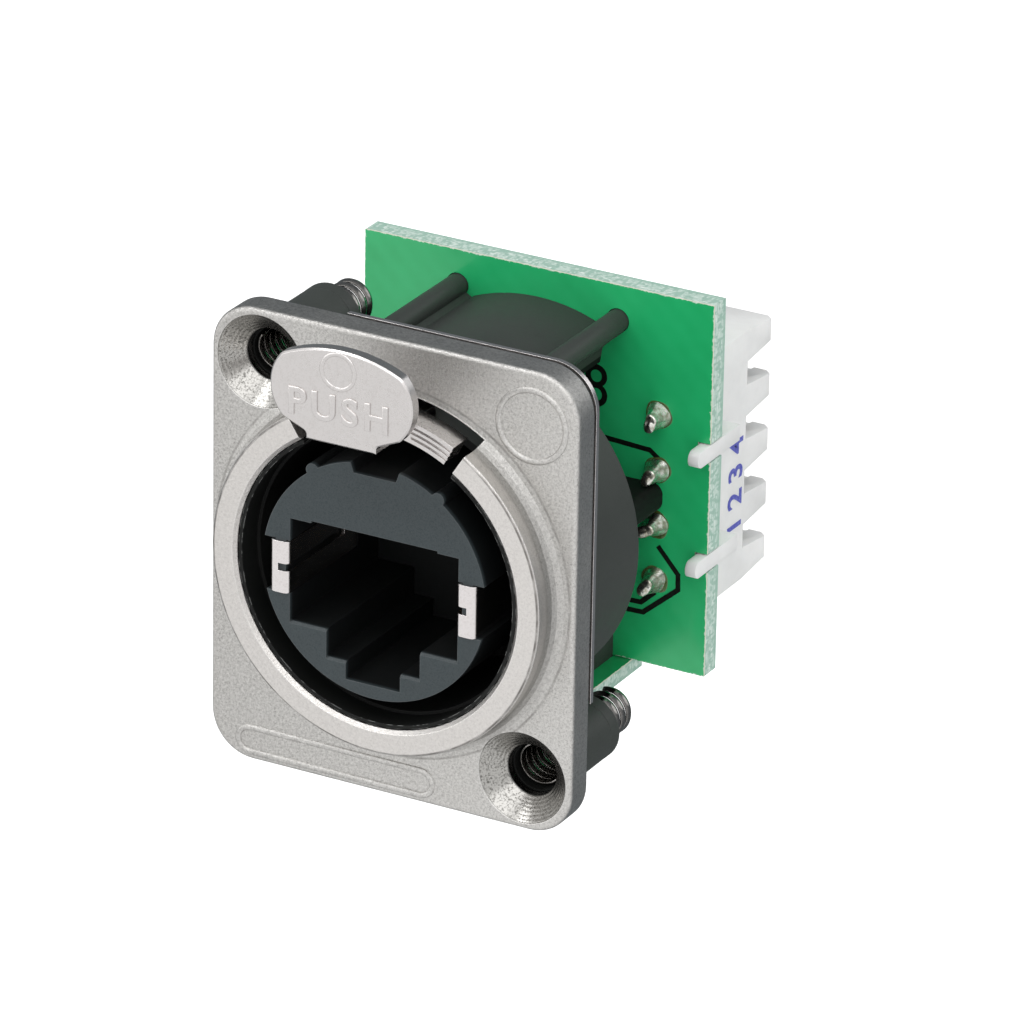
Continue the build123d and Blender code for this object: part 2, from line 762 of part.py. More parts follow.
# Punch-down contacts: a slotted blade in the block, a pin through the board
number = 0
for x in (-blade_x, blade_x):
    for z in wire_heights:
        number += 1
        blade_back = block_back - blade_setback
        with BuildPart() as idc_contact:
            with BuildSketch(side_plane(x - blade_gauge / 2)):
                with Locations((board_back + blade_foot, z)):
                    Rectangle(
                        blade_back - board_back - blade_foot,
                        blade_width,
                        align=(Align.MIN, Align.CENTER),
                    )
                with Locations((board_front - pin_proud, z)):
                    Rectangle(
                        pin_proud + board_thickness + blade_foot,
                        pin_width,
                        align=(Align.MIN, Align.CENTER),
                    )
                with Locations((blade_back, z)):
                    Rectangle(
                        2 * blade_slot_depth,
                        blade_slot,
                        align=Align.CENTER,
                        mode=Mode.SUBTRACT,
                    )
                with BuildLine():
                    Polyline(
                        (blade_back, z + blade_mouth / 2),
                        (blade_back - blade_mouth, z),
                        (blade_back, z - blade_mouth / 2),
                        close=True,
                    )
                make_face(mode=Mode.SUBTRACT)
            extrude(amount=blade_gauge)
        save(idc_contact.part, f"idc_contact_{number}")

# Solder fillets round the eight pins on the front of the board
with BuildPart() as solder_joints:
    for x in (-blade_x, blade_x):
        with BuildSketch(front_plane(board_front)):
            with Locations(*[(x, z) for z in wire_heights]):
                RegularPolygon(solder_d / 2, solder_sides)
        extrude(amount=solder_height, taper=solder_taper)
        with BuildSketch(front_plane(board_front)):
            with Locations(*[(x, z) for z in wire_heights]):
                Rectangle(blade_gauge, pin_width)
        extrude(amount=solder_height, mode=Mode.SUBTRACT)
save(solder_joints.part, "solder_joints")
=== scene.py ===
import json
from math import cos, pi, radians, sin

import bmesh
import bpy
import numpy as np
from mathutils import Matrix, Vector


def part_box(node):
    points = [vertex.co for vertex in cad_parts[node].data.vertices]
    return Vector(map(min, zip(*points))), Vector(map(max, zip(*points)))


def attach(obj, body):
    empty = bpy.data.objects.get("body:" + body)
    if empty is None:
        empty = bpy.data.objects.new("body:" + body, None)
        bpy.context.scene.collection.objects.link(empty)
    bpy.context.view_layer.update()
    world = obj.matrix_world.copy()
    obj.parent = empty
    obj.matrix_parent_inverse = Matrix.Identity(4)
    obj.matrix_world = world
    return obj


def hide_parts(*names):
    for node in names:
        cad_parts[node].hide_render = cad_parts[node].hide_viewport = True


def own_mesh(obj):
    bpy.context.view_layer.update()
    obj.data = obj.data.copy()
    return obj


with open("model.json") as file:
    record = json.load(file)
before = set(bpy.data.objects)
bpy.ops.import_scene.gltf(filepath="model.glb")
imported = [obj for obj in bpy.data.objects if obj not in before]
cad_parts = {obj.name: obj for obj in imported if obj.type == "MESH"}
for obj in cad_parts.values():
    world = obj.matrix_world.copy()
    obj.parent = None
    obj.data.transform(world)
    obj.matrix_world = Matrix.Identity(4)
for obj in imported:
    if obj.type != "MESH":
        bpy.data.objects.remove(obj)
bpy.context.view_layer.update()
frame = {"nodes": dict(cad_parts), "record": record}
nodes = frame["nodes"]
mm = 0.001

# Camera at the photograph's viewing angle: angles in degrees, lengths in mm
cameraView = {
    "azimuth": 28.46,
    "elevation": 23.78,
    "roll": 1.02,
    "aim": (8.475, 0.0, 5.875),
    "distance": 491.3,
    "lens": 281.25,
    "sensor": 36,
    "nearest": 10,
    "farthest": 20000,
}


def placeCamera(view):
    # back = (sin az cos el, -cos az cos el, sin el), and right and up are turned by the roll about it
    az, el, roll = (radians(view[key]) for key in ("azimuth", "elevation", "roll"))
    back = Vector((sin(az) * cos(el), -cos(az) * cos(el), sin(el)))
    right = Vector((cos(az), sin(az), 0))
    up = back.cross(right)
    turnedRight = right * cos(roll) + up * sin(roll)
    turnedUp = up * cos(roll) - right * sin(roll)
    data = bpy.data.cameras.new("camera")
    data.lens = view["lens"]
    data.sensor_width = view["sensor"]
    data.clip_start = view["nearest"] * mm
    data.clip_end = view["farthest"] * mm
    camera = bpy.data.objects.new("camera", data)
    bpy.context.scene.collection.objects.link(camera)
    turn = Matrix((turnedRight, turnedUp, back)).transposed().to_4x4()
    spot = (Vector(view["aim"]) + back * view["distance"]) * mm
    camera.matrix_world = Matrix.Translation(spot) @ turn
    bpy.context.scene.camera = camera


placeCamera(cameraView)
print("camera placed")


# Helpers for node trees
def addNode(tree, kind, inputs, **settings):
    # a shader node with its settings, and each input either linked or set; it gives the node's outputs
    made = tree.nodes.new("ShaderNode" + kind)
    for name, value in settings.items():
        setattr(made, name, value)
    for name, value in inputs.items():
        if isinstance(value, bpy.types.NodeSocket):
            tree.links.new(value, made.inputs[name])
        else:
            made.inputs[name].default_value = value
    return made.outputs


def calc(tree, operation, first, second=0.0, clamp=False):
    return addNode(tree, "Math", {0: first, 1: second}, operation=operation, use_clamp=clamp)[0]


def product(tree, first, *others):
    for other in others:
        first = calc(tree, "MULTIPLY", first, other)
    return first


def inMm(tree, metres):
    return calc(tree, "MULTIPLY", metres, 1 / mm)


def mixColour(tree, share, first, second):
    return addNode(tree, "Mix", {0: share, 6: first, 7: second}, data_type="RGBA")[2]


def mixNumber(tree, share, first, second):
    return addNode(tree, "Mix", {0: share, 2: first, 3: second}, data_type="FLOAT")[0]


def ramp(tree, value, low, high, lowOut=0.0, highOut=1.0):
    # straight from lowOut at low to highOut at high, and held beyond both
    sockets = {"Value": value, "From Min": low, "From Max": high, "To Min": lowOut, "To Max": highOut}
    return addNode(tree, "MapRange", sockets)["Result"]


def splitVector(tree, vector):
    return addNode(tree, "SeparateXYZ", {0: vector})


def objectPlace(tree):
    return addNode(tree, "TexCoord", {})["Object"]


def trueNormal(tree):
    return addNode(tree, "NewGeometry", {})["True Normal"]


def softNormal(tree, radius, samples=6):
    # the normal of the surface with its hard edges rounded over this radius in metres
    return addNode(tree, "Bevel", {"Radius": radius}, samples=samples)["Normal"]


def scaledNoise(tree, vector, scale, detail, rough):
    sockets = {"Vector": vector, "Scale": scale, "Detail": detail, "Roughness": rough}
    return addNode(tree, "TexNoise", sockets)["Fac"]


def noise(tree, vector, size, detail=2.0, rough=0.5):
    # size is the grain's size in mm
    return scaledNoise(tree, vector, 1 / (size * mm), detail, rough)


def stretch(tree, vector, scale):
    return addNode(tree, "Mapping", {"Vector": vector, "Scale": scale})[0]


def startGroup(name, ins, outs):
    # a shader node group; a socket is (label, kind)
    tree = bpy.data.node_groups.new(name, "ShaderNodeTree")
    kinds = {"number": "NodeSocketFloat", "vector": "NodeSocketVector"}
    for label, kind in ins:
        tree.interface.new_socket(label, in_out="INPUT", socket_type=kinds[kind])
    for label, kind in outs:
        tree.interface.new_socket(label, in_out="OUTPUT", socket_type=kinds[kind])
    return tree, tree.nodes.new("NodeGroupInput").outputs, tree.nodes.new("NodeGroupOutput").inputs


def useGroup(tree, group, **inputs):
    return addNode(tree, "Group", inputs, node_tree=group)


# Cast grain: height in mm = depth * (mounds + pitShare * pits), and a speckle from 0 to 1 out of the same sum
grainForm = {
    "detail": 3.0,
    "rough": 0.6,
    "pitsPerMound": 2.7,
    "pitReach": 0.6,
    "pitShare": 0.5,
    "speckle": (0.54, 0.96),
}


def makeGrain(form):
    ins = [("Place", "vector"), ("Size", "number"), ("Depth", "number")]
    tree, given, out = startGroup("castGrain", ins, [("Height", "number"), ("Speckle", "number")])
    scale = calc(tree, "DIVIDE", 1 / mm, given["Size"])
    mounds = scaledNoise(tree, given["Place"], scale, form["detail"], form["rough"])
    cells = {"Vector": given["Place"], "Scale": calc(tree, "MULTIPLY", scale, form["pitsPerMound"])}
    pits = ramp(tree, addNode(tree, "TexVoronoi", cells)["Distance"], 0.0, form["pitReach"])
    both = calc(tree, "ADD", mounds, calc(tree, "MULTIPLY", pits, form["pitShare"]))
    tree.links.new(product(tree, both, given["Depth"], mm), out["Height"])
    tree.links.new(ramp(tree, both, *form["speckle"]), out["Speckle"])
    return tree


# Edge shine: gain * (1 - true normal . rounded normal), which is 0 on flats and held at 1
def makeEdges():
    ins = [("Radius", "number"), ("Gain", "number")]
    tree, given, out = startGroup("edgeShine", ins, [("Mask", "number")])
    normals = {0: softNormal(tree, calc(tree, "MULTIPLY", given["Radius"], mm)), 1: trueNormal(tree)}
    along = addNode(tree, "VectorMath", normals, operation="DOT_PRODUCT")["Value"]
    turned = calc(tree, "SUBTRACT", 1.0, along)
    tree.links.new(calc(tree, "MULTIPLY", turned, given["Gain"], clamp=True), out["Mask"])
    return tree


# Handling: broad soft patches from 0 to 1, for uneven gloss and cloudiness
patchForm = {"detail": 4.0, "rough": 0.65, "span": (0.3, 0.7)}


def makeHandling(form):
    tree, given, out = startGroup("handling", [("Place", "vector"), ("Size", "number")], [("Mask", "number")])
    scale = calc(tree, "DIVIDE", 1 / mm, given["Size"])
    cloud = scaledNoise(tree, given["Place"], scale, form["detail"], form["rough"])
    tree.links.new(ramp(tree, cloud, *form["span"]), out["Mask"])
    return tree


castGrain = makeGrain(grainForm)
edgeShine = makeEdges()
handling = makeHandling(patchForm)


def aboutAxis(tree, place, x=0.0, z=0.0):
    # depth along Y, and distance from the axis along Y through (x, z), both in mm
    ends = {0: place, 1: (x * mm, 0, z * mm)}
    axes = splitVector(tree, addNode(tree, "VectorMath", ends, operation="SUBTRACT")[0])
    squares = calc(tree, "ADD", calc(tree, "POWER", axes["X"], 2.0), calc(tree, "POWER", axes["Z"], 2.0))
    return inMm(tree, axes["Y"]), inMm(tree, calc(tree, "SQRT", squares))


def nearCircle(tree, reach, radius, width):
    # 1 near the circle of this radius, fading to 0 between both distances of width from it
    off = calc(tree, "ABSOLUTE", calc(tree, "SUBTRACT", reach, radius))
    return ramp(tree, off, *width)


def startMaterial(name, **sockets):
    # a material with its Principled shader; plain numbers sit on the shader's own sockets
    material = bpy.data.materials.new(name)
    material.use_nodes = True
    tree = material.node_tree
    shader = tree.nodes["Principled BSDF"]
    for label, value in sockets.items():
        shader.inputs[label.replace("_", " ")].default_value = value
    return material, tree, shader.inputs


def dress(tree, surface, colour, rough, normal=None):
    tree.links.new(colour, surface["Base Color"])
    tree.links.new(rough, surface["Roughness"])
    if normal is not None:
        tree.links.new(normal, surface["Normal"])


def bump(tree, height, soften=None):
    # heights are in metres; soften is the radius in mm over which a hard CAD edge is rounded to the eye
    sockets = {"Height": height, "Distance": 1.0, "Strength": 1.0}
    if soften:
        sockets["Normal"] = softNormal(tree, soften * mm)
    return addNode(tree, "Bump", sockets)["Normal"]


def materialName(slot):
    first, *others = slot.split("_")
    return first + "".join(word.capitalize() for word in others)


def scaled(colour, factor):
    return tuple(min(1.0, part * factor) for part in colour[:3]) + (1,)


# Nickel plate over a fine casting, with turned countersinks round the two screw holes. Lengths are in mm;
# a pair of depths or distances is where a mask starts and where it is full
castingFinish = {
    "plate": (0.66, 0.648, 0.626, 1),
    "shade": (0.27, 0.262, 0.25, 1),
    "grainSize": 0.15,
    "grainDepth": 0.022,
    "mottleSize": 0.2,
    "mottleSpan": (0.38, 0.62),
    "mottleShare": 0.35,
    # painted light across X: the casting is painted darker towards -X and paler towards +X, over this half
    # width in mm
    "sideways": 12.0,
    "paintedLightTone": (-0.13, 0.1),
    "patchSize": 5.0,
    "rough": (0.34, 0.46),
    "soften": 0.09,
    "raised": (0.72, 0.695, 0.67, 1),
    "raisedShade": (0.53, 0.51, 0.49, 1),
    "raisedDepths": (-0.9, -1.3),
    "raisedGloss": 0.06,
    # painted highlight: the paler colour of the casting's edges
    "rub": (0.88, 0.87, 0.85, 1),
    "edgeMaskRadius": 0.12,
    "edgeMaskGain": 7.0,
    "edgeHighlightShare": 0.8,
    "rubGloss": 0.18,
    "screwSpots": ((-9.5, 12.0), (9.5, -12.0)),
    "turned": (0.46, 0.45, 0.43, 1),
    "turnedShade": (0.16, 0.155, 0.145, 1),
    "turnedReach": (3.12, 3.04),
    "turnedDepths": (-0.1, 0.05),
    "turnedRough": (0.38, 0.25),
    "chatterSize": 0.13,
    "chatterSpan": (0.36, 0.52),
    "ringsPerMm": 5.0,
    "ringDepth": 0.0024,
    "wobbleSize": 1.5,
    "wobble": 0.15,
    # painted shade inside the screw bores
    "bore": (0.10, 0.10, 0.098, 1),
    "boreShadeReach": (1.78, 1.73),
    # painted shade: the dark colour of the painted lines at the cove's base and round the ring's lip
    "creaseShade": (0.16, 0.15, 0.14, 1),
    "breakSize": 1.2,
    "breakSpan": (0.3, 0.6, 0.3, 0.9),
    "creaseRadius": 12.62,
    "creaseWidth": (0.11, 0.03),
    "creaseDepths": (-0.5, -0.3),
    "creaseShadeShare": 0.6,
    # painted shade in the cove, towards the ring's wall on the +X side
    "coveShadeReach": (11.7, 12.8, 0.35, 0.0),
    "coveShadeSide": (0.0, 7.0),
    "coveShadeDepths": (-1.4, -1.0),
    # painted shade: a thin dark line round the ring's outer edge
    "rimShadeRadius": 11.53,
    "rimShadeWidth": (0.09, 0.03),
    "rimShadeDepths": (-1.9, -2.1),
}


def nickelCasting(look):
    material, tree, surface = startMaterial("nickelCasting", Metallic=1.0)
    place = objectPlace(tree)
    depth, reach = aboutAxis(tree, place)
    across = inMm(tree, splitVector(tree, place)["X"])
    grain = useGroup(tree, castGrain, Place=place, Size=look["grainSize"], Depth=look["grainDepth"])
    patches = useGroup(tree, handling, Place=place, Size=look["patchSize"])["Mask"]
    edges = useGroup(tree, edgeShine, Radius=look["edgeMaskRadius"], Gain=look["edgeMaskGain"])["Mask"]
    fromScrews = calc(tree, "MINIMUM", *(aboutAxis(tree, place, x, z)[1] for x, z in look["screwSpots"]))

    # speckle and mottling from shade to plate, smoother and paler on the raised ring; painted light is added,
    # darker towards -X and paler towards +X
    mottle = ramp(tree, noise(tree, place, look["mottleSize"], 4.0, 0.65), *look["mottleSpan"])
    speckle = mixNumber(tree, look["mottleShare"], grain["Speckle"], mottle)
    paintedLight = ramp(tree, across, -look["sideways"], look["sideways"], *look["paintedLightTone"])
    speckle = calc(tree, "ADD", speckle, paintedLight, clamp=True)
    raised = ramp(tree, depth, *look["raisedDepths"])
    cast = mixColour(tree, speckle, look["shade"], look["plate"])
    smooth = mixColour(tree, speckle, look["raisedShade"], look["raised"])
    colour = mixColour(tree, raised, cast, smooth)

    # painted shade in the cove, darker towards the ring's wall on the +X side; a broken line of painted shade
    # runs where the cove meets the plate
    dull = ramp(tree, reach, *look["coveShadeReach"])
    dull = product(tree, dull, ramp(tree, across, *look["coveShadeSide"]))
    dull = product(tree, dull, ramp(tree, depth, *look["coveShadeDepths"]))
    colour = mixColour(tree, dull, colour, look["shade"])
    broken = ramp(tree, noise(tree, place, look["breakSize"]), *look["breakSpan"])
    # painted shade: a broken dark line where the cove meets the plate
    creaseShade = nearCircle(tree, reach, look["creaseRadius"], look["creaseWidth"])
    creaseShade = product(tree, creaseShade, ramp(tree, depth, *look["creaseDepths"]))
    creaseShade = product(tree, creaseShade, broken, look["creaseShadeShare"])
    colour = mixColour(tree, creaseShade, colour, look["creaseShade"])

    # countersinks: height = ringDepth * sin(2 pi ringsPerMm (distance + wobble)), with chatter marks
    turned = ramp(tree, fromScrews, *look["turnedReach"])
    turned = product(tree, turned, ramp(tree, depth, *look["turnedDepths"]))
    wobble = calc(tree, "MULTIPLY", noise(tree, place, look["wobbleSize"]), look["wobble"])
    phase = calc(tree, "MULTIPLY", calc(tree, "ADD", fromScrews, wobble), 2 * pi * look["ringsPerMm"])
    cuts = calc(tree, "MULTIPLY", calc(tree, "SINE", phase), look["ringDepth"] * mm)
    chatter = ramp(tree, noise(tree, place, look["chatterSize"], 3.0, 0.7), *look["chatterSpan"])
    cut = mixColour(tree, chatter, look["turnedShade"], look["turned"])
    colour = mixColour(tree, turned, colour, cut)

    # painted highlight on the edges, painted shade in the screw bores, and a thin line of painted shade where
    # the ring's front face meets its lip
    colour = mixColour(tree, calc(tree, "MULTIPLY", edges, look["edgeHighlightShare"]), colour, look["rub"])
    colour = mixColour(tree, ramp(tree, fromScrews, *look["boreShadeReach"]), colour, look["bore"])
    # painted shade: a thin broken dark line round the ring's outer edge
    rim = nearCircle(tree, reach, look["rimShadeRadius"], look["rimShadeWidth"])
    rim = product(tree, rim, ramp(tree, depth, *look["rimShadeDepths"]), broken)
    colour = mixColour(tree, rim, colour, look["creaseShade"])

    rough = ramp(tree, patches, 0.0, 1.0, *look["rough"])
    rough = calc(tree, "SUBTRACT", rough, calc(tree, "MULTIPLY", raised, look["raisedGloss"]))
    rough = mixNumber(tree, turned, rough, ramp(tree, chatter, 0.0, 1.0, *look["turnedRough"]))
    rough = calc(tree, "SUBTRACT", rough, calc(tree, "MULTIPLY", edges, look["rubGloss"]))
    height = mixNumber(tree, turned, grain["Height"], cuts)
    dress(tree, surface, colour, rough, bump(tree, height, look["soften"]))
    return material


# Smoother plated metal: latch, sheet and wire differ in colour, grain and gloss. Lengths are in mm
platedFinish = {
    "size": 0.3,
    "depth": 0.002,
    "soften": 0.05,
    "patchSize": 3.0,
    "speckleShare": 0.8,
    "edgeReach": 1.5,
    "edgeGain": 6.0,
    # painted highlight: the share and the lift of the paler edge colour
    "edgeGlintShare": 0.7,
    "edgeGlintTone": 1.25,
    "edgeGloss": 0.08,
}
platedKinds = {
    "nickel_latch": {
        "base": (0.68, 0.655, 0.645, 1),
        "dull": (0.60, 0.575, 0.56, 1),
        "rough": (0.24, 0.33),
        "depth": 0.0015,
    },
    "bright_sheet": {
        "base": (0.78, 0.745, 0.74, 1),
        "dull": (0.72, 0.68, 0.67, 1),
        "rough": (0.18, 0.28),
        "size": 0.5,
    },
    "spring_wire": {
        "base": (0.55, 0.55, 0.55, 1),
        "dull": (0.42, 0.42, 0.42, 1),
        "rough": (0.2, 0.35),
        "size": 0.1,
    },
    # the coil's tones are painted dark, as painted shade for the screw holes it sits in
    "coil_wire": {
        "base": (0.42, 0.40, 0.38, 1),
        "dull": (0.12, 0.115, 0.11, 1),
        "rough": (0.1, 0.24),
        "size": 0.12,
        "soften": 0.03,
    },
    "gold_contact": {
        "base": (0.83, 0.60, 0.24, 1),
        "dull": (0.70, 0.48, 0.18, 1),
        "rough": (0.16, 0.28),
        "size": 0.1,
    },
    "tinned_contact": {
        "base": (0.72, 0.72, 0.70, 1),
        "dull": (0.55, 0.55, 0.53, 1),
        "rough": (0.22, 0.36),
        "size": 0.15,
    },
}


def platedMetal(name, look):
    material, tree, surface = startMaterial(name, Metallic=1.0)
    place = objectPlace(tree)
    grain = useGroup(tree, castGrain, Place=place, Size=look["size"], Depth=look["depth"])
    patches = useGroup(tree, handling, Place=place, Size=look["patchSize"])["Mask"]
    edgeRadius = look["soften"] * look["edgeReach"]
    edges = useGroup(tree, edgeShine, Radius=edgeRadius, Gain=look["edgeGain"])["Mask"]
    speckle = calc(tree, "MULTIPLY", grain["Speckle"], look["speckleShare"])
    colour = mixColour(tree, speckle, look["dull"], look["base"])
    # painted highlight: the edges are painted paler than the base
    edgeGlint = calc(tree, "MULTIPLY", edges, look["edgeGlintShare"])
    colour = mixColour(tree, edgeGlint, colour, scaled(look["base"], look["edgeGlintTone"]))
    rough = ramp(tree, patches, 0.0, 1.0, *look["rough"])
    rough = calc(tree, "SUBTRACT", rough, calc(tree, "MULTIPLY", edges, look["edgeGloss"]))
    dress(tree, surface, colour, rough, bump(tree, grain["Height"], look["soften"]))
    return material


# Moulded plastic: spark-eroded texture, paler edges painted as highlights and faint cloudiness. Lengths are
# in
# mm. A hollow is (x, z, reach, front): within that reach of an axis along Y and behind that depth, it is
# painted much darker as painted shade, and rougher. Glints are painted highlights: bright broken spots on the
# edges in front of that depth
plasticFinish = {
    "size": 0.12,
    "depth": 0.004,
    "soften": 0.08,
    "wear": 0.5,
    "patchSize": 4.0,
    "edgeGain": 5.0,
    "cloudTone": 1.18,
    "speckleShare": 0.25,
    # painted shade: inside these hollows the colour is darkened
    "shadedHollows": (),
    "hollowFade": (0.3, 0.04),
    "hollowShadeTone": 0.1,
    "hollowRough": 0.2,
    "glintDepth": None,
    "glintSize": 0.5,
    "glintSpan": (0.5, 0.56),
    "glintFade": 0.1,
    "fleck": (0.30, 0.31, 0.30, 1),
    "sockets": {},
}
plasticKinds = {
    "black_plastic": {
        "base": (0.036, 0.042, 0.038, 1),
        "worn": (0.075, 0.082, 0.078, 1),
        "rough": (0.42, 0.54),
        "wear": 0.3,
        "shadedHollows": ((0.0, 0.0, 9.96, -2.4), (-9.5, 12.0, 1.8, 0.5), (9.5, -12.0, 1.8, 0.5)),
        "glintDepth": -0.5,
        "sockets": {"Specular_IOR_Level": 0.28},
    },
    "dark_plastic": {
        "base": (0.017, 0.027, 0.031, 1),
        "worn": (0.12, 0.135, 0.14, 1),
        "rough": (0.36, 0.46),
        "soften": 0.1,
        "wear": 0.8,
        "shadedHollows": ((0.0, 0.0, 9.0, -2.1),),
        "sockets": {"Specular_IOR_Level": 0.35},
    },
    "white_plastic": {
        "base": (0.76, 0.765, 0.76, 1),
        "worn": (0.86, 0.86, 0.855, 1),
        "rough": (0.3, 0.42),
        "depth": 0.003,
        "wear": 0.3,
        "sockets": {
            "Subsurface_Weight": 0.25,
            "Subsurface_Scale": 0.0012,
            "Subsurface_Radius": (1.0, 0.95, 0.9),
        },
    },
}


def mouldedPlastic(name, look):
    material, tree, surface = startMaterial(name, **look["sockets"])
    place = objectPlace(tree)
    base, worn = look["base"], look["worn"]
    grain = useGroup(tree, castGrain, Place=place, Size=look["size"], Depth=look["depth"])
    patches = useGroup(tree, handling, Place=place, Size=look["patchSize"])["Mask"]
    edges = useGroup(tree, edgeShine, Radius=look["soften"], Gain=look["edgeGain"])["Mask"]
    colour = mixColour(tree, patches, base, scaled(base, look["cloudTone"]))
    colour = mixColour(tree, calc(tree, "MULTIPLY", grain["Speckle"], look["speckleShare"]), colour, worn)
    # painted highlight: the edges are mixed towards the paler colour
    colour = mixColour(tree, calc(tree, "MULTIPLY", edges, look["wear"]), colour, worn)
    rough = ramp(tree, patches, 0.0, 1.0, *look["rough"])
    depthFade, reachFade = look["hollowFade"]
    # painted shade: within each hollow and behind its front, the colour falls to a small share of the base
    for x, z, limit, front in look["shadedHollows"]:
        depth, reach = aboutAxis(tree, place, x, z)
        within = ramp(tree, reach, limit + reachFade, limit)
        shadedInside = product(tree, ramp(tree, depth, front, front + depthFade), within)
        colour = mixColour(tree, shadedInside, colour, scaled(base, look["hollowShadeTone"]))
        rough = calc(tree, "ADD", rough, calc(tree, "MULTIPLY", shadedInside, look["hollowRough"]))
    # painted highlight: bright broken spots on the edges in front of that depth
    if look["glintDepth"] is not None:
        broken = ramp(tree, noise(tree, place, look["glintSize"]), *look["glintSpan"])
        depth = aboutAxis(tree, place)[0]
        ahead = ramp(tree, depth, look["glintDepth"] + look["glintFade"], look["glintDepth"])
        colour = mixColour(tree, product(tree, broken, ahead, edges), colour, look["fleck"])
    dress(tree, surface, colour, rough, bump(tree, grain["Height"], look["soften"]))
    return material


# Green mask on both faces of a board, pale glass fibre on its sawn edges. Lengths are in mm; a share of the
# depth is 0 at the front and 1 at the back
boardFinish = {
    "mask": (0.024, 0.57, 0.195, 1),
    "maskDeep": (0.013, 0.44, 0.14, 1),
    "patchSize": 9.0,
    "weave": (0.045, 0.62, 0.24, 1),
    "weavePitch": 3.0,
    "weaveWobble": 0.6,
    "weaveShare": 0.12,
    "fibre": (0.84, 0.94, 0.88, 1),
    "fibreDark": (0.33, 0.55, 0.45, 1),
    "fibreSize": 0.5,
    "fibreStretch": (1.0, 5.0, 0.6),
    "fibreSpan": (0.35, 0.65),
    "fibreRelief": 0.03,
    "bundleSize": 0.3,
    "bundleStretch": (1.0, 0.55, 1.0),
    "bundleSpan": (0.43, 0.53, 0.2, 1.0),
    "darkBack": (0.72, 0.9, 0.0, 0.75),
    "cream": (0.84, 0.80, 0.66, 1),
    "creamFront": (0.1, 0.04),
    "sawnNormal": (0.75, 0.65),
    "chipSize": 0.3,
    "chipShare": 0.5,
    "chipSpan": (0.21, 0.27, 0.0, 0.85),
    "rough": (0.3, 0.75),
    "waveSize": 0.8,
    "waveRelief": 0.006,
    "soften": 0.05,
}


def greenLaminate(name, look, across, depths, middle, half):
    # depths are those of the board's front and back along the axis across it. middle and half are the
    # centre and half size of its outline, where the mask is chipped away
    material, tree, surface = startMaterial(name, Coat_Weight=0.35, Coat_Roughness=0.12)
    place = objectPlace(tree)
    axes = splitVector(tree, place)
    normal = splitVector(tree, trueNormal(tree))
    sawn = ramp(tree, calc(tree, "ABSOLUTE", normal[across]), *look["sawnNormal"])
    depth = ramp(tree, axes[across], *(end * mm for end in depths))

    patches = useGroup(tree, handling, Place=place, Size=look["patchSize"])["Mask"]
    cloth = {
        "Vector": place,
        "Scale": 1 / (look["weavePitch"] * mm),
        "Distortion": look["weaveWobble"],
        "Detail": 1.0,
    }
    weave = addNode(tree, "TexWave", cloth, bands_direction="DIAGONAL")["Fac"]
    mask = mixColour(tree, patches, look["maskDeep"], look["mask"])
    mask = mixColour(tree, calc(tree, "MULTIPLY", weave, look["weaveShare"]), mask, look["weave"])

    stretched = stretch(tree, place, look["fibreStretch"])
    fibres = ramp(tree, noise(tree, stretched, look["fibreSize"], 5.0, 0.7), *look["fibreSpan"])
    bundles = noise(tree, stretch(tree, place, look["bundleStretch"]), look["bundleSize"], 1.0)
    bundles = ramp(tree, bundles, *look["bundleSpan"])
    edge = mixColour(tree, calc(tree, "MULTIPLY", fibres, bundles), look["fibreDark"], look["fibre"])
    edge = mixColour(tree, ramp(tree, depth, *look["darkBack"]), edge, look["fibreDark"])
    edge = mixColour(tree, ramp(tree, depth, *look["creamFront"]), edge, look["cream"])

    # distance beyond the outline: the larger of |X| - half width and |other axis - middle| - half height
    other = axes["Z" if across == "Y" else "Y"]
    sideways = calc(tree, "SUBTRACT", calc(tree, "ABSOLUTE", axes["X"]), half[0] * mm)
    upwards = calc(tree, "ABSOLUTE", calc(tree, "SUBTRACT", other, middle * mm))
    upwards = calc(tree, "SUBTRACT", upwards, half[1] * mm)
    beyond = inMm(tree, calc(tree, "MAXIMUM", sideways, upwards))
    chips = calc(tree, "MULTIPLY", noise(tree, place, look["chipSize"], 4.0, 0.7), look["chipShare"])
    chipped = ramp(tree, calc(tree, "ADD", beyond, chips), *look["chipSpan"])
    mask = mixColour(tree, chipped, mask, look["fibre"])

    colour = mixColour(tree, sawn, mask, edge)
    rough = ramp(tree, sawn, 0.0, 1.0, *look["rough"])
    grain = product(tree, fibres, sawn, look["fibreRelief"] * mm)
    waves = calc(tree, "MULTIPLY", noise(tree, place, look["waveSize"]), look["waveRelief"] * mm)
    dress(tree, surface, colour, rough, bump(tree, calc(tree, "ADD", grain, waves), look["soften"]))
    return material


# Solder, the flux round it and printed ink: each is two tones with a noise between them. Lengths are in mm
solderFinish = {
    "bright": (0.80, 0.79, 0.74, 1),
    "dull": (0.40, 0.38, 0.30, 1),
    "size": 0.35,
    "span": (0.42, 0.62),
    "rough": (0.26, 0.44),
    "reliefSize": 0.5,
    "relief": 0.06,
}
fluxLook = {
    "thin": (0.06, 0.09, 0.02, 1),
    "thick": (0.10, 0.16, 0.05, 1),
    "size": 0.4,
    "span": (0.35, 0.65),
    "rough": (0.18, 0.4),
}
inkFinish = {"size": 0.14, "span": (0.4, 0.68), "specular": 0.2, "thinRough": 0.15}


def solderMetal(look):
    material, tree, surface = startMaterial("solder", Metallic=1.0)
    place = objectPlace(tree)
    dull = ramp(tree, noise(tree, place, look["size"], 4.0), *look["span"])
    colour = mixColour(tree, dull, look["bright"], look["dull"])
    relief = calc(tree, "MULTIPLY", noise(tree, place, look["reliefSize"], 3.0), look["relief"] * mm)
    dress(tree, surface, colour, ramp(tree, dull, 0.0, 1.0, *look["rough"]), bump(tree, relief))
    return material


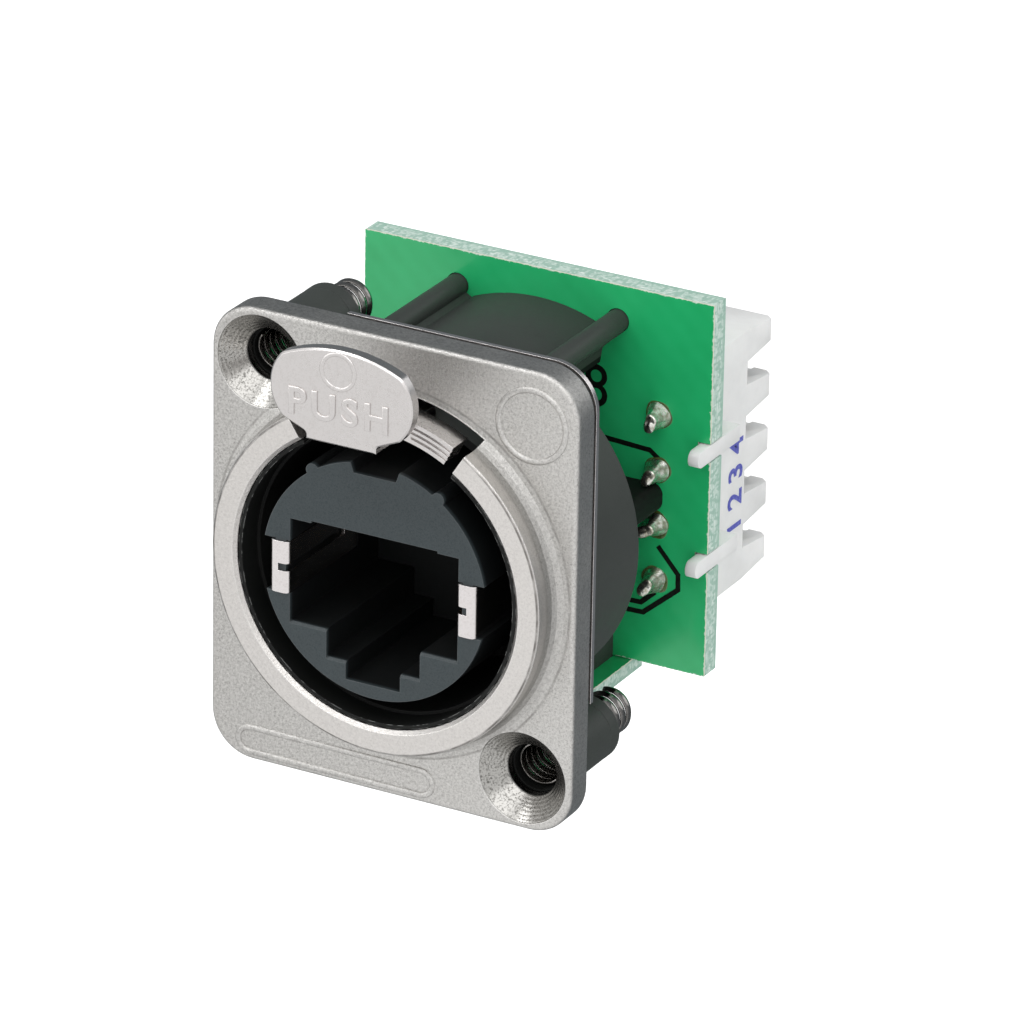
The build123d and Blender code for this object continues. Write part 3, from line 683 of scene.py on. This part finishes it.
def clearFlux(look):
    material, tree, surface = startMaterial("flux", Coat_Weight=0.6, Coat_Roughness=0.08)
    spread = ramp(tree, noise(tree, objectPlace(tree), look["size"], 3.0), *look["span"])
    colour = mixColour(tree, spread, look["thin"], look["thick"])
    dress(tree, surface, colour, ramp(tree, spread, 0.0, 1.0, *look["rough"]))
    return material


def printedInk(name, full, thin, rough):
    # ink that is thinner in spots
    material, tree, surface = startMaterial(name, Specular_IOR_Level=inkFinish["specular"])
    spots = ramp(tree, noise(tree, objectPlace(tree), inkFinish["size"], 3.0), *inkFinish["span"])
    spotRough = ramp(tree, spots, 0.0, 1.0, rough, rough + inkFinish["thinRough"])
    dress(tree, surface, mixColour(tree, spots, full, thin), spotRough)
    return material


finishes = {"nickel_casting": nickelCasting(castingFinish)}
for makeFinish, usual, kinds in (
    (platedMetal, platedFinish, platedKinds),
    (mouldedPlastic, plasticFinish, plasticKinds),
):
    for slot, kind in kinds.items():
        finishes[slot] = makeFinish(materialName(slot), {**usual, **kind})
finishes["solder"] = solderMetal(solderFinish)
fluxFinish = clearFlux(fluxLook)
blackInk = printedInk("blackInk", (0.003, 0.004, 0.003, 1), (0.006, 0.012, 0.007, 1), 0.45)
blueInk = printedInk("blueInk", (0.07, 0.08, 0.42, 1), (0.20, 0.22, 0.60, 1), 0.4)

lowBoardFrom, lowBoardTo = (tuple(part / mm for part in corner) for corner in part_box("lower_board"))
boardFinishes = {
    "main_board": greenLaminate("greenLaminate", boardFinish, "Y", (18.5, 20.1), 1.1, (12.6, 12.8)),
    "lower_board": greenLaminate(
        "lowerLaminate",
        boardFinish,
        "Z",
        (lowBoardTo[2], lowBoardFrom[2]),
        (lowBoardFrom[1] + lowBoardTo[1]) / 2,
        (lowBoardTo[0], (lowBoardTo[1] - lowBoardFrom[1]) / 2),
    ),
}

slotOf = {entry["node"]: entry["material_slot"] for entry in frame["record"]["subparts"]}
for nodeName, cadNode in nodes.items():
    cadNode.data.materials.clear()
    cadNode.data.materials.append(boardFinishes.get(nodeName) or finishes[slotOf[nodeName]])
print("finishes made")


# Helpers for pieces: a surface is a grid of points in mm, rows by columns
def gridFaces(points, wrapRows=False, wrapColumns=False):
    rows, columns = points.shape[:2]
    index = np.arange(rows * columns).reshape(rows, columns)
    down = np.roll(index, -1, 0)
    faces = np.stack([index, np.roll(index, -1, 1), np.roll(down, -1, 1), down], -1)
    if not wrapRows:
        faces = faces[:-1]
    if not wrapColumns:
        faces = faces[:, :-1]
    return points.reshape(-1, 3), faces.reshape(-1, 4)


def finishMesh(mesh, sharpAngle, mergeWithin=1e-7):
    # doubles merged so that poles and seams are closed, faces turned outwards, flats kept crisp
    work = bmesh.new()
    work.from_mesh(mesh)
    bmesh.ops.remove_doubles(work, verts=work.verts, dist=mergeWithin)
    bmesh.ops.recalc_face_normals(work, faces=work.faces)
    work.to_mesh(mesh)
    work.free()
    mesh.shade_smooth()
    mesh.set_sharp_from_angle(angle=radians(sharpAngle))


def addPiece(name, mesh, slotName, body="frame", replaced=(), material=None):
    # a piece has its slot's finish unless another material is given
    piece = bpy.data.objects.new(name, mesh)
    bpy.context.scene.collection.objects.link(piece)
    mesh.materials.clear()
    mesh.materials.append(material or finishes[slotName])
    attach(piece, body)
    if replaced:
        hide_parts(*replaced)
    return piece


def meshOf(name, surfaces, sharpAngle=35):
    # several grids joined into one mesh; each is (points, faces)
    points = np.concatenate([part[0] for part in surfaces]) * mm
    starts = np.cumsum([0] + [len(part[0]) for part in surfaces[:-1]])
    faces = np.concatenate([part[1] + start for part, start in zip(surfaces, starts)])
    mesh = bpy.data.meshes.new(name)
    mesh.from_pydata(points.tolist(), [], faces.tolist())
    finishMesh(mesh, sharpAngle)
    return mesh


def meshPoints(mesh):
    co = np.zeros(len(mesh.vertices) * 3)
    mesh.vertices.foreach_get("co", co)
    return co.reshape(-1, 3)


# Lettering before it is scaled to its size: lengths are in parts of the letter size
letterForm = {"extrude": 0.02, "curveSteps": 6, "slopeSteps": 2, "sharp": 40}


def textMesh(name, words, size, place, bold=0.0, spacing=1.0, slope=0.0):
    # raised lettering, made a mesh, then scaled to size = (width, height, relief) in mm and set by the matrix
    # place; bold and slope are the letters' offset and their sloping walls
    curve = bpy.data.curves.new(name, "FONT")
    curve.body = words
    curve.space_character = spacing
    curve.extrude = letterForm["extrude"]
    curve.offset = bold
    curve.bevel_depth = slope
    curve.bevel_resolution = letterForm["slopeSteps"] if slope else 0
    curve.resolution_u = letterForm["curveSteps"]
    holder = bpy.data.objects.new(name, curve)
    bpy.context.scene.collection.objects.link(holder)
    bpy.context.view_layer.update()
    mesh = bpy.data.meshes.new_from_object(holder.evaluated_get(bpy.context.evaluated_depsgraph_get()))
    bpy.data.objects.remove(holder)
    co = meshPoints(mesh)
    low, high = co.min(0), co.max(0)
    co = (co - (low + high) / 2) / (high - low) * size * mm
    mesh.vertices.foreach_set("co", co.ravel())
    mesh.transform(place)
    finishMesh(mesh, letterForm["sharp"])
    return mesh


def placeMatrix(right, up, spot):
    # axes of the lettering's own X and Y, and its centre in mm
    right, up = Vector(right), Vector(up)
    turn = Matrix((right, up, right.cross(up))).transposed().to_4x4()
    return Matrix.Translation(Vector(spot) * mm) @ turn


def boxInMm(name):
    return tuple(np.array(corner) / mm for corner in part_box(name))


def fullTurn(count):
    return np.linspace(0, 2 * pi, count, endpoint=False)


def aroundY(centre, radius, depth, turn):
    # point = (cx + r cos t, y, cz + r sin t)
    depth = depth + 0 * radius * turn
    return np.stack([centre[0] + radius * np.cos(turn), depth, centre[2] + radius * np.sin(turn)], -1)


def windWire(centre, depth, angle, section):
    # (r, s) of the section is carried along the turns at radius r and depth y + s, to a point at both ends
    middle = section[:, 0].mean()
    step = np.arange(len(depth))
    shrink = np.clip(np.minimum(step, step[::-1]), 0, 1)[:, None]
    radius = middle + (section[None, :, 0] - middle) * shrink
    along = depth[:, None] + section[None, :, 1] * shrink
    return gridFaces(aroundY(centre, radius, along, angle[:, None]), wrapColumns=True)


# Thread coils: turns of flattened diamond wire, close inside the boss and open behind it. Lengths are in mm,
# and start is the angle of the first turn
coils = {
    "inner": 1.24,
    "outer": 1.55,
    "halfWidth": 0.36,
    "innerHalf": 0.05,
    "outerHalf": 0.06,
    "sideHalf": 0.04,
    "sideIn": 0.06,
    "closePitch": 0.68,
    "openPitch": 0.75,
    "bossBack": 8.2,
    "proud": 0.6,
    "stepsPerTurn": 48,
    "sharp": 50,
    "start": {"thread_coil_upper": 2.4, "thread_coil_lower": 0.6},
}


def coilSection():
    # (r, s) round the wire: a flat inside and outside, and a narrow flat on each flank
    inner, outer, middle = coils["inner"], coils["outer"], (coils["inner"] + coils["outer"]) / 2
    within, beyond, side = coils["innerHalf"], coils["outerHalf"], coils["sideHalf"]
    flank = coils["halfWidth"] - coils["sideIn"]
    section = [(inner, -within), (inner, within), (middle - side, flank), (middle + side, flank)]
    section += [(outer, beyond), (outer, -beyond), (middle + side, -flank), (middle - side, -flank)]
    return np.array(section)


def coilMesh(name, node):
    # y climbs by closePitch a turn, then by openPitch behind the boss
    low, high = boxInMm(node)
    front = low[1] + coils["halfWidth"]
    back = high[1] - coils["halfWidth"] + coils["proud"]
    closeTurns = (coils["bossBack"] - front) / coils["closePitch"]
    openTurns = (back - coils["bossBack"]) / coils["openPitch"]
    turns = np.linspace(0, closeTurns + openTurns, int((closeTurns + openTurns) * coils["stepsPerTurn"]))
    depth = front + np.minimum(turns, closeTurns) * coils["closePitch"]
    depth = depth + np.maximum(turns - closeTurns, 0) * coils["openPitch"]
    angle = 2 * pi * turns + coils["start"][node]
    return meshOf(name, [windWire((low + high) / 2, depth, angle, coilSection())], coils["sharp"])


for coilNode in coils["start"]:
    coilName = coilNode.replace("thread_coil", "wire_coil")
    addPiece(coilName, coilMesh(coilName, coilNode), "coil_wire", replaced=[coilNode])
print("coils wound")


# Return spring: round wire with a closed turn at each end. Lengths are in mm, and closedShare is the part
# of the length that a closed turn takes
spring = {"wire": 0.1, "turns": 7.0, "closedShare": 0.055, "stepsPerTurn": 36, "wireSteps": 8, "sharp": 60}


def springMesh(name, low, high):
    # y follows a broken line over the turns, flatter over the first and the last
    wire, closed, end = spring["wire"], spring["closedShare"], 1 / spring["turns"]
    share = np.linspace(0, 1, int(spring["turns"] * spring["stepsPerTurn"]))
    climb = np.interp(share, [0, end, 1 - end, 1], [0, closed, 1 - closed, 1])
    depth = low[1] + wire + climb * (high[1] - low[1] - 2 * wire)
    roundWire = fullTurn(spring["wireSteps"])
    radius = (high[0] - low[0]) / 2 - wire
    section = np.stack([radius + wire * np.cos(roundWire), wire * np.sin(roundWire)], -1)
    wound = windWire((low + high) / 2, depth, 2 * pi * spring["turns"] * share, section)
    return meshOf(name, [wound], spring["sharp"])


springLow, springHigh = boxInMm("latch_spring")
springWound = springMesh("return_spring", springLow, springHigh)
springPiece = addPiece("return_spring", springWound, "spring_wire", replaced=["latch_spring"])
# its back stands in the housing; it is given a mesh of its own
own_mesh(springPiece)
print("spring wound")


# Punch-down blocks: the CAD form with its doubles merged and every sharp edge rounded
blocks = {"rounding": 0.16, "segments": 2, "sharp": 40}
for side in ("left", "right"):
    merged = nodes[f"idc_block_{side}"].data.copy()
    merged.name = f"punch_block_{side}"
    finishMesh(merged, blocks["sharp"])
    block = addPiece(merged.name, merged, "white_plastic", replaced=[f"idc_block_{side}"])
    rounding = block.modifiers.new("rounding", "BEVEL")
    rounding.width = blocks["rounding"] * mm
    rounding.segments = blocks["segments"]
    rounding.limit_method = "ANGLE"
    rounding.angle_limit = radians(blocks["sharp"])
print("blocks rounded")


# Rims of the bosses: a short tube with a chamfered end, turned about the screw's axis. Lengths are in mm, and
# rise is how far the outside starts inside the boss, and over what length it comes out
rims = {
    "outer": 2.215,
    "inner": 1.7,
    "front": 7.8,
    "back": 9.0,
    "rise": (0.04, 0.4),
    "chamfer": 0.25,
    "around": 64,
}


def rimMesh(name, x, z):
    # (r, y) starts inside the boss, rises out of it, and runs back, over the chamfer and in along the inside
    outer, inner, cut = rims["outer"], rims["inner"], rims["chamfer"]
    front, back, (sunk, run) = rims["front"], rims["back"], rims["rise"]
    profile = [(inner, front), (outer - sunk, front), (outer, front + run)]
    profile = np.array(profile + [(outer, back - cut), (outer - cut, back), (inner, back)])
    turn = fullTurn(rims["around"])[:, None]
    points = aroundY((x, 0, z), profile[None, :, 0], profile[None, :, 1], turn)
    return meshOf(name, [gridFaces(points, wrapRows=True, wrapColumns=True)])


for rimName, (x, z) in zip(("boss_rim_upper", "boss_rim_lower"), castingFinish["screwSpots"]):
    addPiece(rimName, rimMesh(rimName, x, z), "black_plastic")
print("bosses rimmed")


# Solder: concave cones with a little unevenness, turned round each pin. Lengths are in mm; a wave is (waves a
# turn, share of the radius, phase), and the cap is (share of the radius, lift) up to its top
joints = {
    "height": 1.12,
    "foot": 0.84,
    "neck": 0.37,
    "hollow": 1.3,
    "waves": ((2, 0.06, 1.0), (3, 0.035, 2.3)),
    "sunk": 0.05,
    "tipRise": 0.15,
    "cap": ((0.72, 0.07), (0.3, 0.1)),
    "top": 0.12,
    "seedStep": 1.3,
    "rearSeedStep": 2.1,
    "rearSize": 0.5,
    "around": 40,
    "rise": 20,
    "sharp": 60,
    "rightLeans": [(-0.1, -0.5), (-0.2, -0.4), (-0.5, -0.2), (-0.3, -0.4)],
    "leftLeans": [(0.3, -0.4), (0.1, -0.5), (-0.3, -0.4), (0.4, -0.2)],
}
fluxForm = {
    "reach": 0.93,
    "inner": 0.55,
    "height": 0.04,
    "waves": ((2, 0.05, 1.7), (5, 0.03, 1.0)),
    "rearSize": 0.55,
    "sweepSteps": 7,
}


def uneven(turn, waves, seed):
    # 1 + the sum of share * sin(count * turn + phase * seed)
    return 1 + sum(share * np.sin(count * turn + phase * seed) for count, share, phase in waves)


def jointSurface(centre, sign, seed, size=1.0, lean=(0.0, 0.0)):
    # r(h) = neck + (foot - neck) (1 - h)^hollow, swelled by the waves; sign is the side it stands on.
    # Towards lean the tip is drawn out by its length in mm, as cos^3 of the angle from it
    rise = np.linspace(0, 1, joints["rise"])[:, None]
    turn = fullTurn(joints["around"])[None, :]
    radius = joints["neck"] + (joints["foot"] - joints["neck"]) * (1 - rise) ** joints["hollow"]
    radius = radius * uneven(turn, joints["waves"], seed) * size
    towards = np.clip(np.cos(turn - np.arctan2(lean[1], lean[0])), 0, 1) ** 3
    radius = radius + np.hypot(*lean) * towards * np.sqrt(rise)
    height = rise * (joints["height"] + joints["tipRise"] * towards) * size
    radii = [radius[:1], radius] + [radius[-1:] * share for share, lift in joints["cap"]]
    heights = [height[:1] - joints["sunk"], height] + [height[-1:] + lift for share, lift in joints["cap"]]
    radii.append(0 * radius[-1:])
    heights.append(0 * height[-1:] + joints["height"] * size + joints["top"])
    radius, height = np.concatenate(radii), np.concatenate(heights)
    return gridFaces(aroundY(centre, radius, centre[1] + sign * height, turn), wrapColumns=True)


def fluxSurface(centre, sign, seed, size=1.0):
    # a low ring of flux: half an ellipse carried round the joint
    sweep = np.linspace(0, pi, fluxForm["sweepSteps"])[:, None]
    turn = fullTurn(joints["around"])[None, :]
    reach = fluxForm["reach"] * size * uneven(turn, fluxForm["waves"], seed)
    inner = fluxForm["inner"] * size
    radius = (reach + inner) / 2 + (reach - inner) / 2 * np.cos(sweep)
    height = fluxForm["height"] * np.sin(sweep)
    return gridFaces(aroundY(centre, radius, centre[1] + sign * height, turn), wrapColumns=True)


def nodeEnds(stem, side, depth, within=0.05):
    # where each of the eight contacts ends towards the front (side -1) or the back (side 1), at this depth
    spots = []
    for number in range(1, 9):
        points = meshPoints(nodes[f"{stem}_{number}"].data) / mm
        along = points[:, 1] * side
        tip = points[along > along.max() - within].mean(0)
        spots.append((tip[0], depth, tip[2]))
    return spots


boardFront, boardBack = (corner[1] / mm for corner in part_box("main_board"))
pinSpots = nodeEnds("idc_contact", -1, boardFront)
tailSpots = nodeEnds("jack_contact", 1, boardBack)
# the leans run down the right column, then down the left one
order = sorted(range(len(pinSpots)), key=lambda i: (-np.sign(pinSpots[i][0]), -pinSpots[i][2]))
leans = dict(zip(order, joints["rightLeans"] + joints["leftLeans"]))
seeds = [joints["seedStep"] * i for i in range(len(pinSpots))]
rearSeeds = [joints["rearSeedStep"] * i for i in range(len(tailSpots))]
cones = [jointSurface(spot, -1, seeds[i], lean=leans[i]) for i, spot in enumerate(pinSpots)]
conesMesh = meshOf("solder_cones", cones, joints["sharp"])
addPiece("solder_cones", conesMesh, "solder", replaced=["solder_joints"])
rearCones = [jointSurface(spot, 1, seed, joints["rearSize"]) for spot, seed in zip(tailSpots, rearSeeds)]
addPiece("rear_solder", meshOf("rear_solder", rearCones, joints["sharp"]), "solder")
fluxRings = [fluxSurface(spot, -1, seed) for spot, seed in zip(pinSpots, seeds)]
fluxRings += [fluxSurface(spot, 1, seed, fluxForm["rearSize"]) for spot, seed in zip(tailSpots, rearSeeds)]
addPiece("flux_rings", meshOf("flux_rings", fluxRings, joints["sharp"]), "solder", material=fluxFinish)
print("joints soldered")


# Marks on the casting: a plain ring, an empty oblong and the lettering that says to push. Lengths are in mm;
# a rib is (half width, relief)
marks = {
    "ringCentre": (9.76, 11.9),
    "ringRadius": 2.35,
    "oblongCentre": (-3.95, -14.1),
    "oblongHalf": 6.2,
    "oblongRadius": 0.85,
    "rib": (0.21, 0.12),
    "dotCentre": (-0.2, 15.65),
    "dotRadius": 1.15,
    "dotRib": (0.16, 0.08),
    "sunk": 0.02,
    "around": 96,
    "dotAround": 64,
    "sweepSteps": 9,
    "sharp": 60,
    "pushCentre": (-0.15, 13.15),
    "pushSize": (7.0, 1.9, 0.22),
    "pushBold": -0.006,
    "pushSpacing": 1.25,
    "pushSlope": 0.035,
}
upright = ((1, 0, 0), (0, 0, 1))


def ribLoop(path, outward, depth, rib):
    # a low rounded rib: half an ellipse, halfWidth across and relief high, carried along a closed path
    halfWidth, relief = rib
    sweep = np.linspace(0, pi, marks["sweepSteps"])[None, :]
    across = path[:, None, :] + outward[:, None, :] * (halfWidth * np.cos(sweep))[..., None]
    height = depth + marks["sunk"] - (relief + marks["sunk"]) * np.sin(sweep) + 0 * path[:, :1]
    return gridFaces(np.stack([across[..., 0], height, across[..., 1]], -1), wrapRows=True)


def circlePath(centre, radius, count):
    turn = fullTurn(count)
    outward = np.stack([np.cos(turn), np.sin(turn)], -1)
    return np.array(centre) + radius * outward, outward


def oblongPath(centre, half, radius, count):
    # two half circles of that radius, joined by straight runs 2 half long
    turn = np.linspace(-pi / 2, 3 * pi / 2, count, endpoint=False)
    outward = np.stack([np.cos(turn), np.sin(turn)], -1)
    side = np.where(np.cos(turn) > -1e-9, half, -half)
    return np.array(centre) + radius * outward + np.stack([side, 0 * side], -1), outward


ringPath = circlePath(marks["ringCentre"], marks["ringRadius"], marks["around"])
oblong = oblongPath(marks["oblongCentre"], marks["oblongHalf"], marks["oblongRadius"], marks["around"])
flangeRibs = [ribLoop(*path, 0.0, marks["rib"]) for path in (ringPath, oblong)]
addPiece("flange_marks", meshOf("flange_marks", flangeRibs, marks["sharp"]), "nickel_casting")

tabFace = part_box("push_latch")[0][1] / mm
dotPath = circlePath(marks["dotCentre"], marks["dotRadius"], marks["dotAround"])
tabRing = meshOf("tab_ring", [ribLoop(*dotPath, tabFace, marks["dotRib"])], marks["sharp"])
addPiece("tab_ring", tabRing, "nickel_latch", "latch")
pushX, pushZ = marks["pushCentre"]
pushPlace = placeMatrix(*upright, (pushX, tabFace, pushZ))
letterStyle = (marks["pushBold"], marks["pushSpacing"], marks["pushSlope"])
letters = textMesh("push_letters", "PUSH", marks["pushSize"], pushPlace, *letterStyle)
addPiece("push_letters", letters, "nickel_latch", "latch")
print("casting marked")


# Print on the board: thin ribbons of ink along the lines, a numeral beside the barrel. Lengths are in mm
boardPrint = {
    "lineHalf": 0.17,
    "thickness": 0.02,
    "sunk": 0.01,
    "sharp": 20,
    "lines": [
        [(2.4, 3.34), (5.3, 3.3), (8.32, 3.14), (9.05, 2.61)],
        [(9.07, -3.35), (10.56, -5.03), (10.58, -6.08), (8.11, -8.2), (6.44, -8.24), (2.4, -8.3)],
        [(8.94, -6.6), (7.95, -7.53), (6.57, -7.57), (2.4, -7.62)],
        [(-2.4, 3.24), (-8.32, 3.14), (-9.05, 2.61)],
        [(-9.07, -3.35), (-10.56, -5.03), (-10.58, -6.08), (-8.11, -8.2), (-2.4, -8.3)],
    ],
    "numeralCentre": (4.35, 6.75),
    "numeralSize": (1.65, 2.9, 0.03),
    "numeralAhead": 0.01,
}


def inkLine(line, half, depth, thickness, sunk):
    # a flat ribbon with a closed rectangular section and mitred corners, carried along the line
    line = np.array(line, float)
    run = np.diff(line, axis=0)
    run = run / np.linalg.norm(run, axis=1)[:, None]
    after = np.concatenate([run, run[-1:]])
    mean = np.concatenate([run[:1], run]) + after
    mean = mean / np.linalg.norm(mean, axis=1)[:, None]
    side = np.stack([-mean[:, 1], mean[:, 0]], -1) * (half / (mean * after).sum(1))[:, None]
    left, right = line + side, line - side
    corners = []
    for edge, level in ((left, sunk), (left, -thickness), (right, -thickness), (right, sunk)):
        corners.append(np.stack([edge[:, 0], np.full(len(line), depth + level), edge[:, 1]], -1))
    points = np.stack(corners, 1)
    first, last = (end.mean(1, keepdims=True).repeat(4, 1) for end in (points[:1], points[-1:]))
    return gridFaces(np.concatenate([first, points, last]), wrapColumns=True)


ribbonForm = (boardPrint["lineHalf"], boardFront, boardPrint["thickness"], boardPrint["sunk"])
ribbons = [inkLine(line, *ribbonForm) for line in boardPrint["lines"]]
boardLines = meshOf("board_lines", ribbons, boardPrint["sharp"])
addPiece("board_lines", boardLines, "green_laminate", material=blackInk)
numeralX, numeralZ = boardPrint["numeralCentre"]
numeralPlace = placeMatrix(*upright, (numeralX, boardFront - boardPrint["numeralAhead"], numeralZ))
numeral = textMesh("board_numeral", "8", boardPrint["numeralSize"], numeralPlace)
addPiece("board_numeral", numeral, "green_laminate", material=blackInk)

# Wire numbers printed on the blocks' outer sides, reading upwards. size is their length, height and relief
wireNumbers = {
    "size": (6.4, 1.95, 0.03),
    "bold": 0.02,
    "side": 10.605,
    "depth": 26.1,
    "middle": -1.5,
    "words": {"right": "1 2 3 4", "left": "5 6 7 8"},
}
for blockName, words in wireNumbers["words"].items():
    side = 1 if blockName == "right" else -1
    spot = (side * wireNumbers["side"], wireNumbers["depth"], wireNumbers["middle"])
    place = placeMatrix((0, 0, 1), (0, -side, 0), spot)
    digitsName = f"wire_numbers_{blockName}"
    digits = textMesh(digitsName, words, wireNumbers["size"], place, wireNumbers["bold"])
    addPiece(digitsName, digits, "white_plastic", material=blueInk)
print("print added")


# Studio: a pale floor well below the part, a white surround that is brighter in front, and soft lamps. Floor
# and lamps are in metres and watts: a lamp is (name, spot, size, power)
studio = {
    "floorHeight": -0.06,
    "floorHalf": 3.0,
    "floorColour": (0.86, 0.86, 0.86, 1),
    "floorRough": 0.9,
    "floorLift": 0.45,
    "white": (1, 1, 1, 1),
    "ambient": (0.72, 0.72, 0.72, 1),
    "front": (0.98, 0.98, 0.98, 1),
    "behind": (0.155, 0.172, 0.184, 1),
    "turnover": (-0.25, 0.45),
    "lamps": [
        ("key", (0.5, -1.0, 1.2), 1.6, 7.0),
        ("rim", (-0.65, -0.6, 1.2), 0.6, 3.0),
        ("fill", (-1.1, -0.9, 0.3), 1.0, 2.4),
        ("rear", (1.0, 1.0, 0.8), 1.2, 4.0),
    ],
}


def lightSurround(plan):
    # mirror rays see white in front of the part and grey behind it, by the Y of their direction; camera rays
    # see plain white, and all others the ambient level
    world = bpy.data.worlds.new("surround")
    bpy.context.scene.world = world
    world.use_nodes = True
    tree = world.node_tree
    path = addNode(tree, "LightPath", {})
    facing = splitVector(tree, addNode(tree, "TexCoord", {})["Generated"])["Y"]
    mirror = mixColour(tree, ramp(tree, facing, *plan["turnover"]), plan["front"], plan["behind"])
    reflected = calc(tree, "MAXIMUM", path["Is Glossy Ray"], path["Is Transmission Ray"])
    light = mixColour(tree, reflected, plan["ambient"], mirror)
    light = mixColour(tree, path["Is Camera Ray"], light, plan["white"])
    tree.links.new(light, tree.nodes["Background"].inputs["Color"])


def layFloor(plan):
    # it glows a little to the camera alone, so that it is as pale as the surround and keeps its shadow
    half, level = plan["floorHalf"], plan["floorHeight"]
    mesh = bpy.data.meshes.new("floor")
    corners = [(-half, -half, level), (half, -half, level), (half, half, level), (-half, half, level)]
    mesh.from_pydata(corners, [], [(0, 1, 2, 3)])
    floor = bpy.data.objects.new("floor", mesh)
    bpy.context.scene.collection.objects.link(floor)
    material, tree, surface = startMaterial(
        "paleFloor",
        Base_Color=plan["floorColour"],
        Roughness=plan["floorRough"],
        Specular_IOR_Level=0.0,
        Emission_Color=plan["white"],
    )
    seen = addNode(tree, "LightPath", {})["Is Camera Ray"]
    tree.links.new(calc(tree, "MULTIPLY", seen, plan["floorLift"]), surface["Emission Strength"])
    mesh.materials.append(material)
    floor.visible_glossy = False


def hangLamps(plan):
    for name, spot, size, power in plan["lamps"]:
        lamp = bpy.data.lights.new(name, "AREA")
        lamp.shape = "DISK"
        lamp.size = size
        lamp.energy = power
        holder = bpy.data.objects.new(name, lamp)
        bpy.context.scene.collection.objects.link(holder)
        aim = Vector(spot).to_track_quat("Z", "Y").to_matrix().to_4x4()
        holder.matrix_world = Matrix.Translation(spot) @ aim


lightSurround(studio)
layFloor(studio)
hangLamps(studio)
bpy.context.scene.view_settings.view_transform = "Standard"
print("studio lit")
